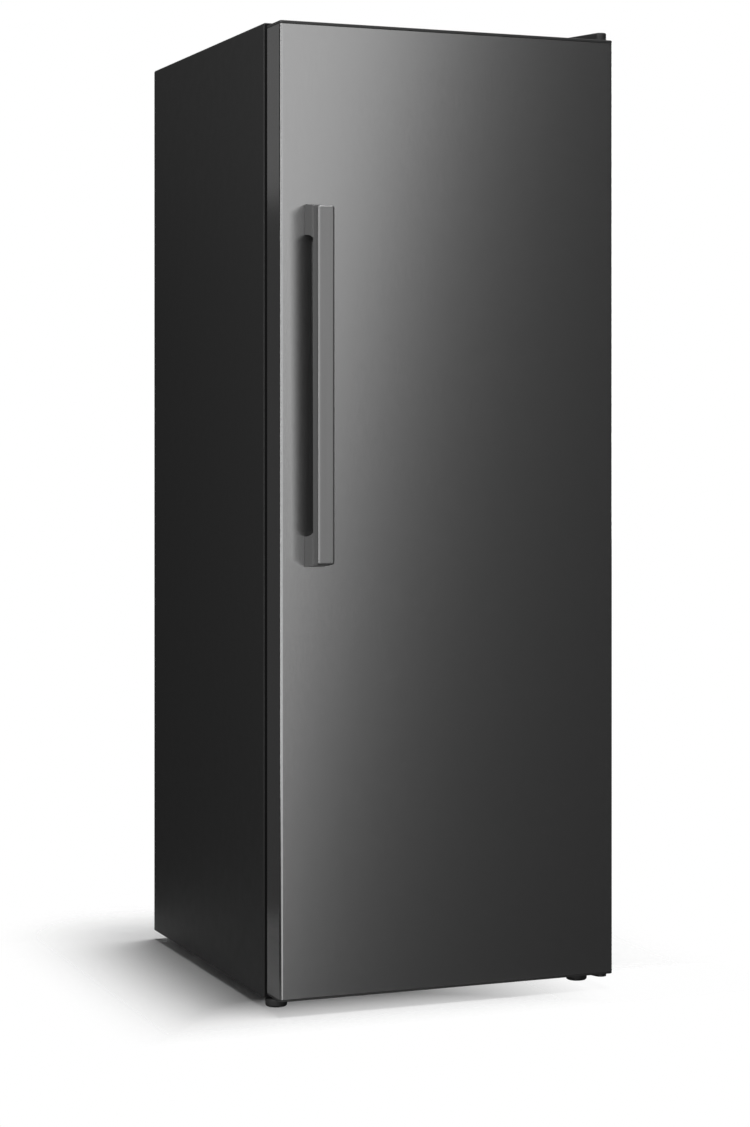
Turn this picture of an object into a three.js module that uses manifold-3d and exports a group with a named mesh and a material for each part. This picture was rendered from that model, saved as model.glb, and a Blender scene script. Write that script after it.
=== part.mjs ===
// Upright frost-free freezer with one full-height door, built as the real product comes apart.
// Millimetres, +Z up. Origin: middle of the footprint, on the floor. The door faces -Y and its
// hinge is on the right, at +X.

import * as THREE from 'three';
import { mergeVertices } from 'three/addons/utils/BufferGeometryUtils.js';
import Module from 'manifold-3d';

const wasm = await Module();
wasm.setup();

// ---------- driving dimensions ----------

// Cabinet
const width = 595;
const cabinetHeight = 1587;
const cabinetDepth = 611;
const floorClearance = 17;
const wall = 60;
const sheet = 1;
const linerThickness = 2.2;
const cornerRadius = 4;
const mouthFlange = 40;
const rearFlange = 15;
const cavityRadius = 20;
const railHeight = 48;
const railThickness = 2;

// Compressor niche at the lower rear
const nicheDepth = 205;
const nicheHeight = 225;
const nicheChamfer = 50;
const stepWall = 50;

// Door
const doorThickness = 63;
const gasketGap = 17;
const doorTopDrop = 7;
const doorBottomRise = 8;
const doorEdgeRadius = 5;
const doorRearRadius = 1.5;
const skinHem = 15;
const topCapThickness = 4.5;
const bottomCapThickness = 3;
const capRimDepth = 12;
const capRimWall = 2;
const doorLinerThickness = 2;
const gasketInset = 20;
const gasketWidth = 18;

// Raised ridge round the inside of the door, as insets from the door's edge and heights
const ridgeFoot = 42;
const ridgeShoulder = 64;
const ridgeOuter = 74;
const ridgeInner = 98;
const ridgeHeight = 35;
const shoulderHeight = 10;
const ridgeRunout = 8;

// Handle
const handleInset = 42;
const handleWidth = 29;
const handleLength = 582;
const handleRise = 696;
const handleReach = 61;
const gripDepth = 23;
const gripRadius = 4;
const gripEndRadius = 6;
const postHeight = 49;
const postFlare = 7;
const postRadius = 3;

// Hinges
const hingeInset = 13;
const hingeSetback = 21;
const pinRadius = 4;
const pinDepth = 12;
const bushBore = 4.4;
const bushRadius = 7;
const bushFlangeRadius = 9;
const bushFlange = 1.5;
const topPlateThickness = 3;
const topPlateLength = 78;
const topPlateWidth = 46;
const topCoverHeight = 7;
const topCoverWall = 1.6;
const topCoverDrop = 5;
const coverTaperAngle = 18;
const noseRadius = 10;
const bottomPlateThickness = 5;
const bottomPlateWidth = 44;
const bottomLegHeight = 24;
const bottomLegThickness = 3;

// Feet and rollers
const footRadius = 18;
const footHeight = 14;
const footInset = 25;
const footSetback = 8;
const stemRadius = 4;
const stemGrip = 11;
const footTravel = 15;
const rollerRadius = 12;
const rollerWidth = 14;
const rollerInset = 48;
const rollerSetback = 40;
const axleRadius = 3;
const earThickness = 2;
const earHalfDepth = 10;
const earDrop = 12;

// Inside
const shelfCount = 6;
const shelfThickness = 4;
const firstShelfRise = 15;
const shelfRibWidth = 8;
const shelfRibHeight = 5;
const ductDepth = 66;
const ductWall = 2.5;
const ductSlotWidth = 120;
const ductSlotHeight = 9;
const controlHeight = 38;
const controlWidth = 220;
const controlDepth = 130;
const controlWall = 2.5;
const controlRadius = 10;
const knobRadius = 15;
const knobDepth = 14;
const lensWidth = 90;
const lensDepth = 60;
const lensRadius = 8;

// Drawers
const drawerWall = 2.4;
const drawerTaper = 6;
const drawerRadius = 18;
const drawerSideGap = 4;
const drawerHeadroom = 8;
const drawerLip = 12;
const drawerLipDrop = 16;
const drawerFrontThickness = 4;
const drawerRim = 3;
const drawerLipSheet = 2.9;
const drawerTravel = 20;
const drawerDoorGap = 3;

// Evaporator and its fan
const finCount = 9;
const finThickness = 1;
const finHeight = 190;
const coilHalfWidth = 180;
const coilTubeRadius = 4.5;
const coilPasses = 6;
const fanRadius = 52;
const fanRise = 360;
const fanHubRadius = 16;
const fanBladeCount = 6;
const fanBladeTwist = 32;
const fanRootChord = 14;
const fanTipChord = 22;
const fanBladeThickness = 1.6;
const fanRingWall = 3;
const fanRingDepth = 24;
const fanArmWidth = 8;
const motorRadius = 19;
const motorLength = 22;
const shaftRadius = 2;

// Compressor group
const compressorOffset = 70;
const compressorRadius = 72;
const compressorSquash = 0.92;
const compressorHeight = 138;
const compressorFootLength = 196;
const compressorFootWidth = 118;
const compressorFootThickness = 3;
const grommetRadius = 11;
const grommetHeight = 14;
const plateThickness = 2;
const plateLip = 12;
const trayLength = 168;
const trayWidth = 122;
const trayHeight = 30;
const trayWall = 2;
const trayRadius = 18;
const trayTaper = 8;
const weldFlange = 4;
const weldThickness = 3;
const terminalBoxSize = 46;
const pipeRadius = 4;
const pipeStraight = 30;
const pipeBend = 20;
const suctionOffset = 60;
const suctionRise = 20;
const dischargeOffset = 110;
const dischargeDrop = 10;
const drierRadius = 10;
const drierLength = 90;
const drierOffset = 185;
const drierStandoff = 70;
const drierRise = 60;
const drierNeck = 6;
const drierCone = 10;
const drierBend = 20;

// Clearances
const seat = 0.3;
const running = 1;
const over = 5;

// ---------- places worked out from the dimensions ----------

const half = width / 2;
const overallDepth = handleReach + doorThickness + gasketGap + cabinetDepth;
const doorFront = handleReach - overallDepth / 2;
const doorBack = doorFront + doorThickness;
const cabinetFront = doorBack + gasketGap;
const cabinetBack = cabinetFront + cabinetDepth;
const cabinetBottom = floorClearance;
const cabinetTop = cabinetBottom + cabinetHeight;
const doorBottom = cabinetBottom + doorBottomRise;
const doorTop = cabinetTop - doorTopDrop;

const innerHalf = half - wall;
const innerBack = cabinetBack - wall;
const innerBottom = cabinetBottom + wall;
const innerTop = cabinetTop - wall;
const cavityHalf = innerHalf - linerThickness;
const cavityBack = innerBack - linerThickness;
const cavityFloor = innerBottom + linerThickness;
const cavityCeiling = innerTop - linerThickness;

const nicheFront = cabinetBack - nicheDepth;
const nicheTop = cabinetBottom + nicheHeight;
const stepTop = nicheTop + stepWall + linerThickness;
const stepFront = nicheFront - stepWall - linerThickness;

const ductFront = cavityBack - ductDepth;
const ridgeFace = doorBack + ridgeHeight;
const drawerFront = ridgeFace + drawerTravel + drawerDoorGap;
const drawerBack = ductFront - running * 4;
const firstShelf = stepTop + firstShelfRise;
const controlBottom = cavityCeiling - controlHeight;
const shelfPitch = (controlBottom - running * 4 - firstShelf) / shelfCount;

const hingeX = half - hingeInset;
const hingeY = doorFront + hingeSetback;
const footX = half - footInset;
const footY = cabinetFront + footSetback;
const stemLength = footTravel + stemGrip;
const rollerX = half - rollerInset;
const rollerY = cabinetBack - rollerSetback;
const plateTop = cabinetBottom + plateThickness;
const compressorX = compressorOffset;
const compressorY = (nicheFront + cabinetBack) / 2 + over;
const compressorBottom = plateTop + grommetHeight - compressorFootThickness * 2;
const compressorTop = compressorBottom + compressorHeight;
const fanZ = stepTop + fanRise;

// ---------- shapes and solids ----------

function polygon(points) {
  return new THREE.Shape(points.map(([a, b]) => new THREE.Vector2(a, b)));
}

function roundedRect(x0, y0, x1, y1, r) {
  const shape = new THREE.Shape();
  shape.absarc(x0 + r, y0 + r, r, Math.PI, Math.PI * 1.5);
  shape.absarc(x1 - r, y0 + r, r, Math.PI * 1.5, Math.PI * 2);
  shape.absarc(x1 - r, y1 - r, r, 0, Math.PI / 2);
  shape.absarc(x0 + r, y1 - r, r, Math.PI / 2, Math.PI);
  shape.closePath();
  return shape;
}

// Upright panel with rounded top corners and a square foot.
function archShape(halfWidth, low, high, r) {
  const shape = new THREE.Shape();
  shape.moveTo(-halfWidth, low);
  shape.lineTo(halfWidth, low);
  shape.absarc(halfWidth - r, high - r, r, 0, Math.PI / 2);
  shape.absarc(-halfWidth + r, high - r, r, Math.PI / 2, Math.PI);
  shape.closePath();
  return shape;
}

// Door seen from above: large radii at the front edges, small ones at the rear.
function doorOutline(inset) {
  const x = half - inset;
  const front = Math.max(doorEdgeRadius - inset, 1);
  const rear = Math.max(doorRearRadius - inset, 0.4);
  const y0 = doorFront + inset;
  const y1 = doorBack - inset;
  const shape = new THREE.Shape();
  shape.absarc(-x + front, y0 + front, front, Math.PI, Math.PI * 1.5);
  shape.absarc(x - front, y0 + front, front, Math.PI * 1.5, Math.PI * 2);
  shape.absarc(x - rear, y1 - rear, rear, 0, Math.PI / 2);
  shape.absarc(-x + rear, y1 - rear, rear, Math.PI / 2, Math.PI);
  shape.closePath();
  return shape;
}

// Compressor niche seen from the side, grown outward by an offset with its slope kept parallel.
function nicheOutline(offset, back, low) {
  const slopeShift = offset * (Math.SQRT2 - 1);
  return polygon([
    [nicheFront - offset, low],
    [back, low],
    [back, nicheTop + offset],
    [nicheFront + nicheChamfer - slopeShift, nicheTop + offset],
    [nicheFront - offset, nicheTop - nicheChamfer + slopeShift],
  ]);
}

function extrude(shape, depth, arcSteps) {
  return new THREE.ExtrudeGeometry(shape, {
    depth, bevelEnabled: false, curveSegments: arcSteps,
  });
}

// Prisms along each axis. Shapes are drawn in (x, y), (x, z) and (y, z).
function prismZ(shape, z0, z1, arcSteps = 2) {
  return solid(extrude(shape, z1 - z0, arcSteps).translate(0, 0, z0));
}

function prismY(shape, y0, y1, arcSteps = 2) {
  return solid(extrude(shape, y1 - y0, arcSteps).rotateX(Math.PI / 2).translate(0, y1, 0));
}

function prismX(shape, x0, x1, arcSteps = 2) {
  const turn = new THREE.Matrix4().makeBasis(
    new THREE.Vector3(0, 1, 0), new THREE.Vector3(0, 0, 1), new THREE.Vector3(1, 0, 0),
  );
  return solid(extrude(shape, x1 - x0, arcSteps).applyMatrix4(turn).translate(x0, 0, 0));
}

function block(x0, x1, y0, y1, z0, z1) {
  const box = new THREE.BoxGeometry(x1 - x0, y1 - y0, z1 - z0);
  return solid(box.translate((x0 + x1) / 2, (y0 + y1) / 2, (z0 + z1) / 2));
}

function roundBar(radius, z0, z1, x, y, sides = 16) {
  const bar = new THREE.CylinderGeometry(radius, radius, z1 - z0, sides).rotateX(Math.PI / 2);
  return solid(bar.translate(x, y, (z0 + z1) / 2));
}

function roundBarX(radius, x0, x1, y, z, sides = 16) {
  const bar = new THREE.CylinderGeometry(radius, radius, x1 - x0, sides).rotateZ(Math.PI / 2);
  return solid(bar.translate((x0 + x1) / 2, y, z));
}

function roundBarY(radius, y0, y1, x, z, sides = 16) {
  const bar = new THREE.CylinderGeometry(radius, radius, y1 - y0, sides);
  return solid(bar.translate(x, (y0 + y1) / 2, z));
}

// Turned piece about the vertical axis, from (radius, height) points that start and end on it.
function turned(points, sides) {
  const outline = points.map(([r, z]) => new THREE.Vector2(r, z));
  return solid(new THREE.LatheGeometry(outline, sides).rotateX(Math.PI / 2));
}

// Round tube along a smooth route.
function tube(points, radius, steps, sides = 8) {
  const route = new THREE.CatmullRomCurve3(points.map((p) => new THREE.Vector3(...p)), false, 'centripetal');
  const section = new THREE.Shape();
  for (let i = 0; i < sides; i++) {
    const angle = (i / sides) * Math.PI * 2;
    const x = Math.cos(angle) * radius;
    const y = Math.sin(angle) * radius;
    if (i === 0) section.moveTo(x, y);
    else section.lineTo(x, y);
  }
  section.closePath();
  return solid(new THREE.ExtrudeGeometry(section, { steps, extrudePath: route, bevelEnabled: false }));
}

// Surface through rings of equal length: capped ends, or joined back to the first ring.
function skinned(rings, closedLoop) {
  const size = rings[0].length;
  const positions = rings.flat().flatMap((p) => [p.x, p.y, p.z]);
  const faces = [];
  const spans = closedLoop ? rings.length : rings.length - 1;
  for (let i = 0; i < spans; i++) {
    const here = i * size;
    const next = ((i + 1) % rings.length) * size;
    for (let j = 0; j < size; j++) {
      const k = (j + 1) % size;
      faces.push(here + j, here + k, next + k, here + j, next + k, next + j);
    }
  }
  if (!closedLoop) {
    const last = (rings.length - 1) * size;
    for (let j = 1; j < size - 1; j++) {
      faces.push(0, j + 1, j);
      faces.push(last, last + j, last + j + 1);
    }
  }
  return solid(facingOut(positions, faces));
}

// The same mesh with its faces turned outward.
function facingOut(positions, faces) {
  const corner = (i) => new THREE.Vector3().fromArray(positions, faces[i] * 3);
  let volume = 0;
  for (let i = 0; i < faces.length; i += 3) {
    volume += corner(i).dot(corner(i + 1).cross(corner(i + 2)));
  }
  if (volume < 0) {
    for (let i = 0; i < faces.length; i += 3) {
      [faces[i + 1], faces[i + 2]] = [faces[i + 2], faces[i + 1]];
    }
  }
  const geometry = new THREE.BufferGeometry();
  geometry.setAttribute('position', new THREE.Float32BufferAttribute(positions, 3));
  geometry.setIndex(faces);
  return geometry;
}

// A closed section of (inset from the door's edge, height above its back) swept round the door
// with mitred corners.
function doorFrame(section) {
  const corners = [[-1, -1], [1, -1], [1, 1], [-1, 1]];
  const middle = (doorTop + doorBottom) / 2;
  const halfHeight = (doorTop - doorBottom) / 2;
  const rings = corners.map(([sx, sz]) => section.map(([inset, rise]) => new THREE.Vector3(
    sx * (half - inset), doorBack + rise, middle + sz * (halfHeight - inset),
  )));
  return skinned(rings, true);
}

function roundedRing(x0, y0, x1, y1, z, r, steps = 2) {
  const centres = [[x1 - r, y0 + r, -0.5], [x1 - r, y1 - r, 0], [x0 + r, y1 - r, 0.5], [x0 + r, y0 + r, 1]];
  const ring = [];
  for (const [cx, cy, start] of centres) {
    for (let i = 0; i <= steps; i++) {
      const angle = (start + (i / steps) * 0.5) * Math.PI;
      ring.push(new THREE.Vector3(cx + r * Math.cos(angle), cy + r * Math.sin(angle), z));
    }
  }
  return ring;
}

function solid(geometry) {
  const bare = geometry.clone();
  bare.deleteAttribute('normal');
  bare.deleteAttribute('uv');
  const merged = mergeVertices(bare, 1e-4);
  return new wasm.Manifold(new wasm.Mesh({
    numProp: 3,
    vertProperties: new Float32Array(merged.attributes.position.array),
    triVerts: new Uint32Array(merged.index.array),
  }));
}

function join(...solids) {
  return solids.reduce((all, next) => all.add(next));
}

function cut(base, ...tools) {
  return tools.reduce((left, tool) => left.subtract(tool), base);
}

function toGeometry(manifold) {
  const mesh = manifold.getMesh();
  const geometry = new THREE.BufferGeometry();
  geometry.setAttribute('position', new THREE.BufferAttribute(new Float32Array(mesh.vertProperties), 3));
  geometry.setIndex(new THREE.BufferAttribute(new Uint32Array(mesh.triVerts), 1));
  geometry.computeVertexNormals();
  return geometry;
}

// ---------- materials ----------

const looks = {
  cabinetPaint: { color: 0x3a3b3c, roughness: 0.45, metalness: 0.3 },
  doorSteel: { color: 0x8f9093, roughness: 0.35, metalness: 0.8 },
  handleMetal: { color: 0x7c7c7d, roughness: 0.4, metalness: 0.7 },
  darkPlastic: { color: 0x232324, roughness: 0.6, metalness: 0 },
  whitePlastic: { color: 0xe9ebec, roughness: 0.45, metalness: 0 },
  foam: { color: 0xe6d9a8, roughness: 0.95, metalness: 0 },
  galvanised: { color: 0xa9adb0, roughness: 0.45, metalness: 0.8 },
  clearPlastic: { color: 0xcfe3ee, roughness: 0.15, metalness: 0, transparent: true, opacity: 0.55 },
  glass: { color: 0xcfe5df, roughness: 0.05, metalness: 0, transparent: true, opacity: 0.4 },
  gasketRubber: { color: 0x2b2b2c, roughness: 0.7, metalness: 0 },
  hingeSteel: { color: 0x303132, roughness: 0.45, metalness: 0.6 },
  pinSteel: { color: 0xb9bcbf, roughness: 0.3, metalness: 0.9 },
  acetal: { color: 0xd8d8d4, roughness: 0.5, metalness: 0 },
  compressorBlack: { color: 0x151516, roughness: 0.4, metalness: 0.4 },
  aluminium: { color: 0xc6c9cb, roughness: 0.4, metalness: 0.9 },
  copper: { color: 0xb5714a, roughness: 0.35, metalness: 0.9 },
  mountRubber: { color: 0x1b1b1b, roughness: 0.85, metalness: 0 },
};

const freezer = new THREE.Group();

function place(name, manifold, look) {
  const mesh = new THREE.Mesh(toGeometry(manifold), new THREE.MeshStandardMaterial(looks[look]));
  mesh.name = name;
  freezer.add(mesh);
}

// ---------- cabinet ----------

// Folded steel wrap: both sides and the top in one sheet, with hems at the front and the rear.
function outerCasing() {
  const topFlange = mouthFlange + doorTopDrop;
  const low = cabinetBottom - over;
  const outside = archShape(half, cabinetBottom, cabinetTop, cornerRadius);
  const inside = archShape(half - sheet, low, cabinetTop - sheet, cornerRadius - sheet);
  const mouth = archShape(half - mouthFlange, low, cabinetTop - topFlange, cornerRadius);
  const rear = archShape(half - rearFlange, low, cabinetTop - rearFlange, cornerRadius);
  return cut(
    prismY(outside, cabinetFront, cabinetBack),
    prismY(inside, cabinetFront + sheet, cabinetBack - sheet),
    prismY(mouth, cabinetFront - over, cabinetFront + over),
    prismY(rear, cabinetBack - over, cabinetBack + over),
  );
}

function frontRail() {
  const x = half - mouthFlange - seat;
  const shape = roundedRect(-x, cabinetBottom, x, cabinetBottom + railHeight, 2);
  return prismY(shape, cabinetFront, cabinetFront + railThickness);
}

function basePlate() {
  const x = half - sheet - seat;
  const front = cabinetFront + railThickness + seat;
  const plate = block(-x, x, front, nicheFront - sheet - seat, cabinetBottom, cabinetBottom + sheet);
  return cut(plate, ...stemHoles(stemRadius + running, cabinetBottom - over, cabinetBottom + over));
}

function stemHoles(radius, z0, z1) {
  return [-1, 1].map((side) => roundBar(radius, z0, z1, side * footX, footY));
}

// Pressed steel back with two shallow stiffening beads.
function backPanel() {
  const x = half - sheet - seat;
  const outer = cabinetBack - sheet - seat;
  const low = nicheTop + sheet + seat;
  const high = cabinetTop - sheet - seat;
  const beadHalf = 9;
  const beadInset = 120;
  const plate = prismY(archShape(x, low, high, cornerRadius - sheet), outer - sheet, outer);
  const beads = [-1, 1].map((side) => {
    const middle = side * (half - beadInset);
    const x0 = middle - beadHalf;
    const bead = roundedRect(x0, low + beadInset, x0 + beadHalf * 2, high - beadInset, beadHalf);
    return prismY(bead, outer - sheet / 2, outer + sheet, 3);
  });
  return join(plate, ...beads);
}

function nicheLiner() {
  const x = half - sheet - seat;
  const back = cabinetBack - sheet - seat;
  return cut(
    prismX(nicheOutline(sheet, back, cabinetBottom), -x, x),
    prismX(nicheOutline(0, back + over, cabinetBottom - over), -x - over, x + over),
  );
}

// Space that the inner liner takes up, grown by a margin.
function linerEnvelope(grow, front) {
  const shape = roundedRect(
    -innerHalf - grow, innerBottom - grow, innerHalf + grow, innerTop + grow, cavityRadius + grow,
  );
  const step = nicheOutline(stepWall - grow, cabinetBack + over, cabinetBottom - over);
  return cut(prismY(shape, front, innerBack + grow, 3), prismX(step, -half - over, half + over));
}

function foamBody() {
  const x = half - sheet - seat;
  const front = cabinetFront + linerThickness + seat;
  const back = cabinetBack - sheet * 2 - seat * 2;
  const shape = archShape(x, cabinetBottom + sheet + seat, cabinetTop - sheet - seat, cornerRadius - sheet);
  return cut(
    prismY(shape, front, back),
    linerEnvelope(seat, cabinetFront - over),
    prismX(nicheOutline(sheet + seat, cabinetBack + over, cabinetBottom - over), -half, half),
    ...stemHoles(stemRadius + running * 2, cabinetBottom - over, cabinetBottom + stemLength + over * 2),
  );
}

// Vacuum-formed tub with the compressor step, a lip at the mouth and ribs that carry the shelves.
function innerLiner() {
  const topFlange = mouthFlange + doorTopDrop;
  const lip = roundedRect(
    -half + mouthFlange + seat, cabinetBottom + railHeight + seat,
    half - mouthFlange - seat, cabinetTop - topFlange - seat, cornerRadius,
  );
  const hollow = roundedRect(
    -cavityHalf, cavityFloor, cavityHalf, cavityCeiling, cavityRadius - linerThickness,
  );
  const step = nicheOutline(stepWall + linerThickness, cabinetBack, cabinetBottom);
  const cavity = cut(
    prismY(hollow, cabinetFront - over, cavityBack, 3),
    prismX(step, -half, half),
  );
  const shell = cut(
    join(linerEnvelope(0, cabinetFront), prismY(lip, cabinetFront, cabinetFront + linerThickness)),
    cavity,
  );
  const ribs = [];
  for (let i = 0; i < shelfCount; i++) {
    const top = firstShelf + i * shelfPitch - shelfThickness - seat;
    for (const side of [-1, 1]) {
      const rib = polygon([
        [side * (cavityHalf + linerThickness / 2), top],
        [side * (cavityHalf - shelfRibWidth), top],
        [side * (cavityHalf - shelfRibWidth), top - shelfRibHeight / 2],
        [side * (cavityHalf + linerThickness / 2), top - shelfRibHeight * 2],
      ]);
      ribs.push(prismY(rib, drawerFront + over, drawerBack));
    }
  }
  return join(shell, ...ribs);
}

function shelf(level) {
  const x = cavityHalf - running;
  const z1 = firstShelf + level * shelfPitch;
  return prismZ(roundedRect(-x, drawerFront, x, drawerBack + running, 6), z1 - shelfThickness, z1);
}

// ---------- cold air ----------

// Moulded cover in front of the evaporator, with an outlet pair at each drawer, a fan grille and a
// return at the bottom.
function ductCover() {
  const x = cavityHalf - running;
  const z0 = stepTop + seat;
  const z1 = cavityCeiling - running;
  const r = cavityRadius - linerThickness;
  const back = cavityBack - seat;
  const hollow = archShape(x - ductWall, z0 - over, z1 - ductWall, r - ductWall);
  const shell = cut(
    prismY(archShape(x, z0, z1, r), ductFront, back, 3),
    prismY(hollow, ductFront + ductWall, back + over, 3),
  );
  const slots = [];
  for (let i = 0; i < shelfCount; i++) {
    const z = firstShelf + (i + 0.72) * shelfPitch;
    if (Math.abs(z - fanZ) < fanRadius + ductSlotHeight * 3) continue;
    for (const side of [-1, 1]) slots.push(airSlot(side * ductSlotWidth, z, ductSlotWidth));
  }
  for (let i = 0; i < 3; i++) {
    const z = z0 + ductSlotHeight * 2 * (i + 1);
    for (const side of [-1, 1]) slots.push(airSlot(side * ductSlotWidth, z, ductSlotWidth));
  }
  for (let i = -2; i <= 2; i++) {
    const rise = i * ductSlotHeight * 2;
    const chord = 2 * Math.sqrt(fanRadius ** 2 - rise ** 2);
    slots.push(airSlot(0, fanZ + rise, chord));
  }
  return cut(shell, ...slots);
}

function airSlot(x, z, length) {
  const shape = roundedRect(
    x - length / 2, z - ductSlotHeight / 2, x + length / 2, z + ductSlotHeight / 2, ductSlotHeight / 2,
  );
  return prismY(shape, ductFront - over, ductFront + ductWall + over, 1);
}

// One serpentine tube through a row of fins.
function evaporator() {
  const y0 = ductFront + ductWall + running * 2;
  const y1 = cavityBack - seat;
  const z0 = stepTop + over * 3;
  const pitch = finHeight / coilPasses;
  const middle = (y0 + y1) / 2;
  const route = new THREE.CurvePath();
  for (let i = 0; i < coilPasses; i++) {
    const z = z0 + pitch * (i + 0.5);
    const side = i % 2 === 0 ? 1 : -1;
    const start = new THREE.Vector3(-side * coilHalfWidth, middle, z);
    const end = new THREE.Vector3(side * coilHalfWidth, middle, z);
    route.add(new THREE.LineCurve3(start, end));
    if (i < coilPasses - 1) {
      const reach = new THREE.Vector3(side * (coilHalfWidth + pitch * 0.66), middle, z);
      const far = new THREE.Vector3(reach.x, middle, z + pitch);
      route.add(new THREE.CubicBezierCurve3(end, reach, far, new THREE.Vector3(end.x, middle, z + pitch)));
    }
  }
  const fins = [];
  for (let i = 0; i < finCount; i++) {
    const x = -coilHalfWidth + over * 2 + (i * (coilHalfWidth - over * 2) * 2) / (finCount - 1);
    fins.push(block(x - finThickness / 2, x + finThickness / 2, y0, y1, z0, z0 + finHeight));
  }
  return join(serpentine(route, coilTubeRadius), ...fins);
}

// Tube along straights and bends, with rings only where the route turns.
function serpentine(route, radius) {
  const sides = 5;
  const rings = [];
  for (const curve of route.curves) {
    const steps = curve.isLineCurve3 ? 1 : 3;
    const first = rings.length === 0 ? 0 : 1;
    for (let i = first; i <= steps; i++) {
      const at = curve.getPoint(i / steps);
      const along = curve.getTangent(i / steps);
      const across = new THREE.Vector3(0, 1, 0);
      const up = new THREE.Vector3().crossVectors(along, across);
      const ring = [];
      for (let j = 0; j < sides; j++) {
        const angle = (j / sides) * Math.PI * 2;
        const point = at.clone();
        point.addScaledVector(across, Math.cos(angle) * radius);
        point.addScaledVector(up, Math.sin(angle) * radius);
        ring.push(point);
      }
      rings.push(ring);
    }
  }
  return skinned(rings, false);
}

const fanBack = ductFront + ductWall + seat;
const fanDisc = fanBack + fanRingDepth;

function fanBracket() {
  const ring = cut(
    roundBarY(fanRadius + running * 3 + fanRingWall, fanBack, fanDisc + fanRingWall, 0, fanZ, 24),
    roundBarY(fanRadius + running * 3, fanBack - over, fanDisc + fanRingWall + over, 0, fanZ, 24),
  );
  const arms = [];
  for (let i = 0; i < 3; i++) {
    const arm = new THREE.BoxGeometry(fanRadius + running * 4, fanRingWall, fanArmWidth);
    arm.translate((fanRadius + running * 4) / 2, fanDisc + fanRingWall / 2, 0);
    arm.rotateY((i * Math.PI * 2) / 3 + Math.PI / 2);
    arms.push(solid(arm.translate(0, 0, fanZ)));
  }
  const disc = roundBarY(motorRadius, fanDisc, fanDisc + fanRingWall, 0, fanZ);
  const hole = roundBarY(shaftRadius + running, fanDisc - over, fanDisc + fanRingWall + over, 0, fanZ, 12);
  return cut(join(ring, ...arms, disc), hole);
}

function fanMotor() {
  const start = fanDisc + fanRingWall + seat;
  const body = roundBarY(motorRadius - running, start, start + motorLength, 0, fanZ);
  const neck = roundBarY(motorRadius / 2, start + motorLength - running, start + motorLength + over, 0, fanZ);
  const shaft = roundBarY(shaftRadius, fanBack + over * 2, start + running, 0, fanZ, 12);
  return join(body, neck, shaft);
}

function fanImpeller() {
  const front = fanBack + running * 3;
  const back = fanDisc - running * 2;
  const middle = (front + back) / 2;
  const hub = roundBarY(fanHubRadius, front, back, 0, fanZ);
  const bore = roundBarY(shaftRadius + seat, front + over, back + over, 0, fanZ, 12);
  const blades = [];
  for (let i = 0; i < fanBladeCount; i++) {
    const root = bladeSection(fanHubRadius - running * 2, fanBladeTwist * 1.4, fanRootChord);
    const tip = bladeSection(fanRadius, fanBladeTwist * 0.8, fanTipChord);
    const blade = skinned([root, tip], false);
    blades.push(blade.rotate([0, (i * 360) / fanBladeCount, 0]).translate([0, middle, fanZ]));
  }
  return cut(join(hub, ...blades), bore);
}

// Flat blade section across the fan's radius, pitched about it.
function bladeSection(radius, pitch, chord) {
  const angle = THREE.MathUtils.degToRad(pitch);
  const corners = [[-0.5, -0.5], [0.5, -0.5], [0.5, 0.5], [-0.5, 0.5]];
  return corners.map(([u, v]) => {
    const along = u * chord;
    const thick = v * fanBladeThickness;
    const y = along * Math.sin(angle) * 0.8 + thick * Math.cos(angle);
    const x = along * Math.cos(angle) - thick * Math.sin(angle);
    return new THREE.Vector3(x, y, radius);
  });
}

// ---------- drawers ----------

function drawer(floor, ceiling, back, taper) {
  const x = cavityHalf - drawerSideGap;
  const panel = drawerFront + drawerLip;
  const front = panel + drawerFrontThickness / 2;
  const z0 = floor + seat;
  const z1 = ceiling;
  const low = taper;
  const w = drawerWall;
  const body = skinned([
    roundedRing(-x + low, front, x - low, back - low, z0, drawerRadius),
    roundedRing(-x + drawerRim, front, x - drawerRim, back - drawerRim, z1, drawerRadius),
  ], false);
  const rim = skinned([
    roundedRing(-x, front, x, back, z1 - w, drawerRadius + drawerRim),
    roundedRing(-x, front, x, back, z1, drawerRadius + drawerRim),
  ], false);
  const hollowFront = panel + drawerFrontThickness;
  const lowIn = low + w;
  const highIn = drawerRim + w;
  const hollow = skinned([
    roundedRing(-x + lowIn, hollowFront, x - lowIn, back - lowIn, z0 + w, drawerRadius - w),
    roundedRing(-x + highIn, hollowFront, x - highIn, back - highIn, z1 + running, drawerRadius - w),
  ], false);
  const lipBottom = z1 - drawerLipDrop;
  const profile = polygon([
    [panel, z0],
    [panel + drawerFrontThickness, z0],
    [panel + drawerFrontThickness, z1],
    [drawerFront + drawerRim, z1],
    [drawerFront, z1 - drawerRim],
    [drawerFront, lipBottom],
    [drawerFront + w, lipBottom],
    [drawerFront + w, z1 - drawerLipSheet - drawerRim],
    [drawerFront + w + drawerRim, z1 - drawerLipSheet],
    [panel, z1 - drawerLipSheet],
  ]);
  const outline = roundedRect(-x, z0, x, z1 + drawerRadius, drawerRadius);
  const frontPanel = prismX(profile, -x, x).intersect(prismY(outline, drawerFront - over, front + over, 3));
  return join(cut(join(body, rim), hollow), frontPanel);
}

function placeDrawers() {
  const headroom = shelfThickness + shelfRibHeight * 2 + drawerHeadroom;
  const lowest = drawer(cavityFloor, firstShelf - headroom, stepFront - running * 4, cavityRadius);
  place('drawer_1', lowest, 'clearPlastic');
  for (let i = 0; i < shelfCount; i++) {
    const floor = firstShelf + i * shelfPitch;
    const onShelf = drawer(floor, floor + shelfPitch - headroom, drawerBack, drawerTaper);
    place(`drawer_${i + 2}`, onShelf, 'clearPlastic');
  }
}

// ---------- controls under the ceiling ----------

const controlFront = drawerFront;
const controlTop = cavityCeiling - seat;
const knobX = controlWidth / 4;
const knobZ = controlBottom + controlHeight / 2;

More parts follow.
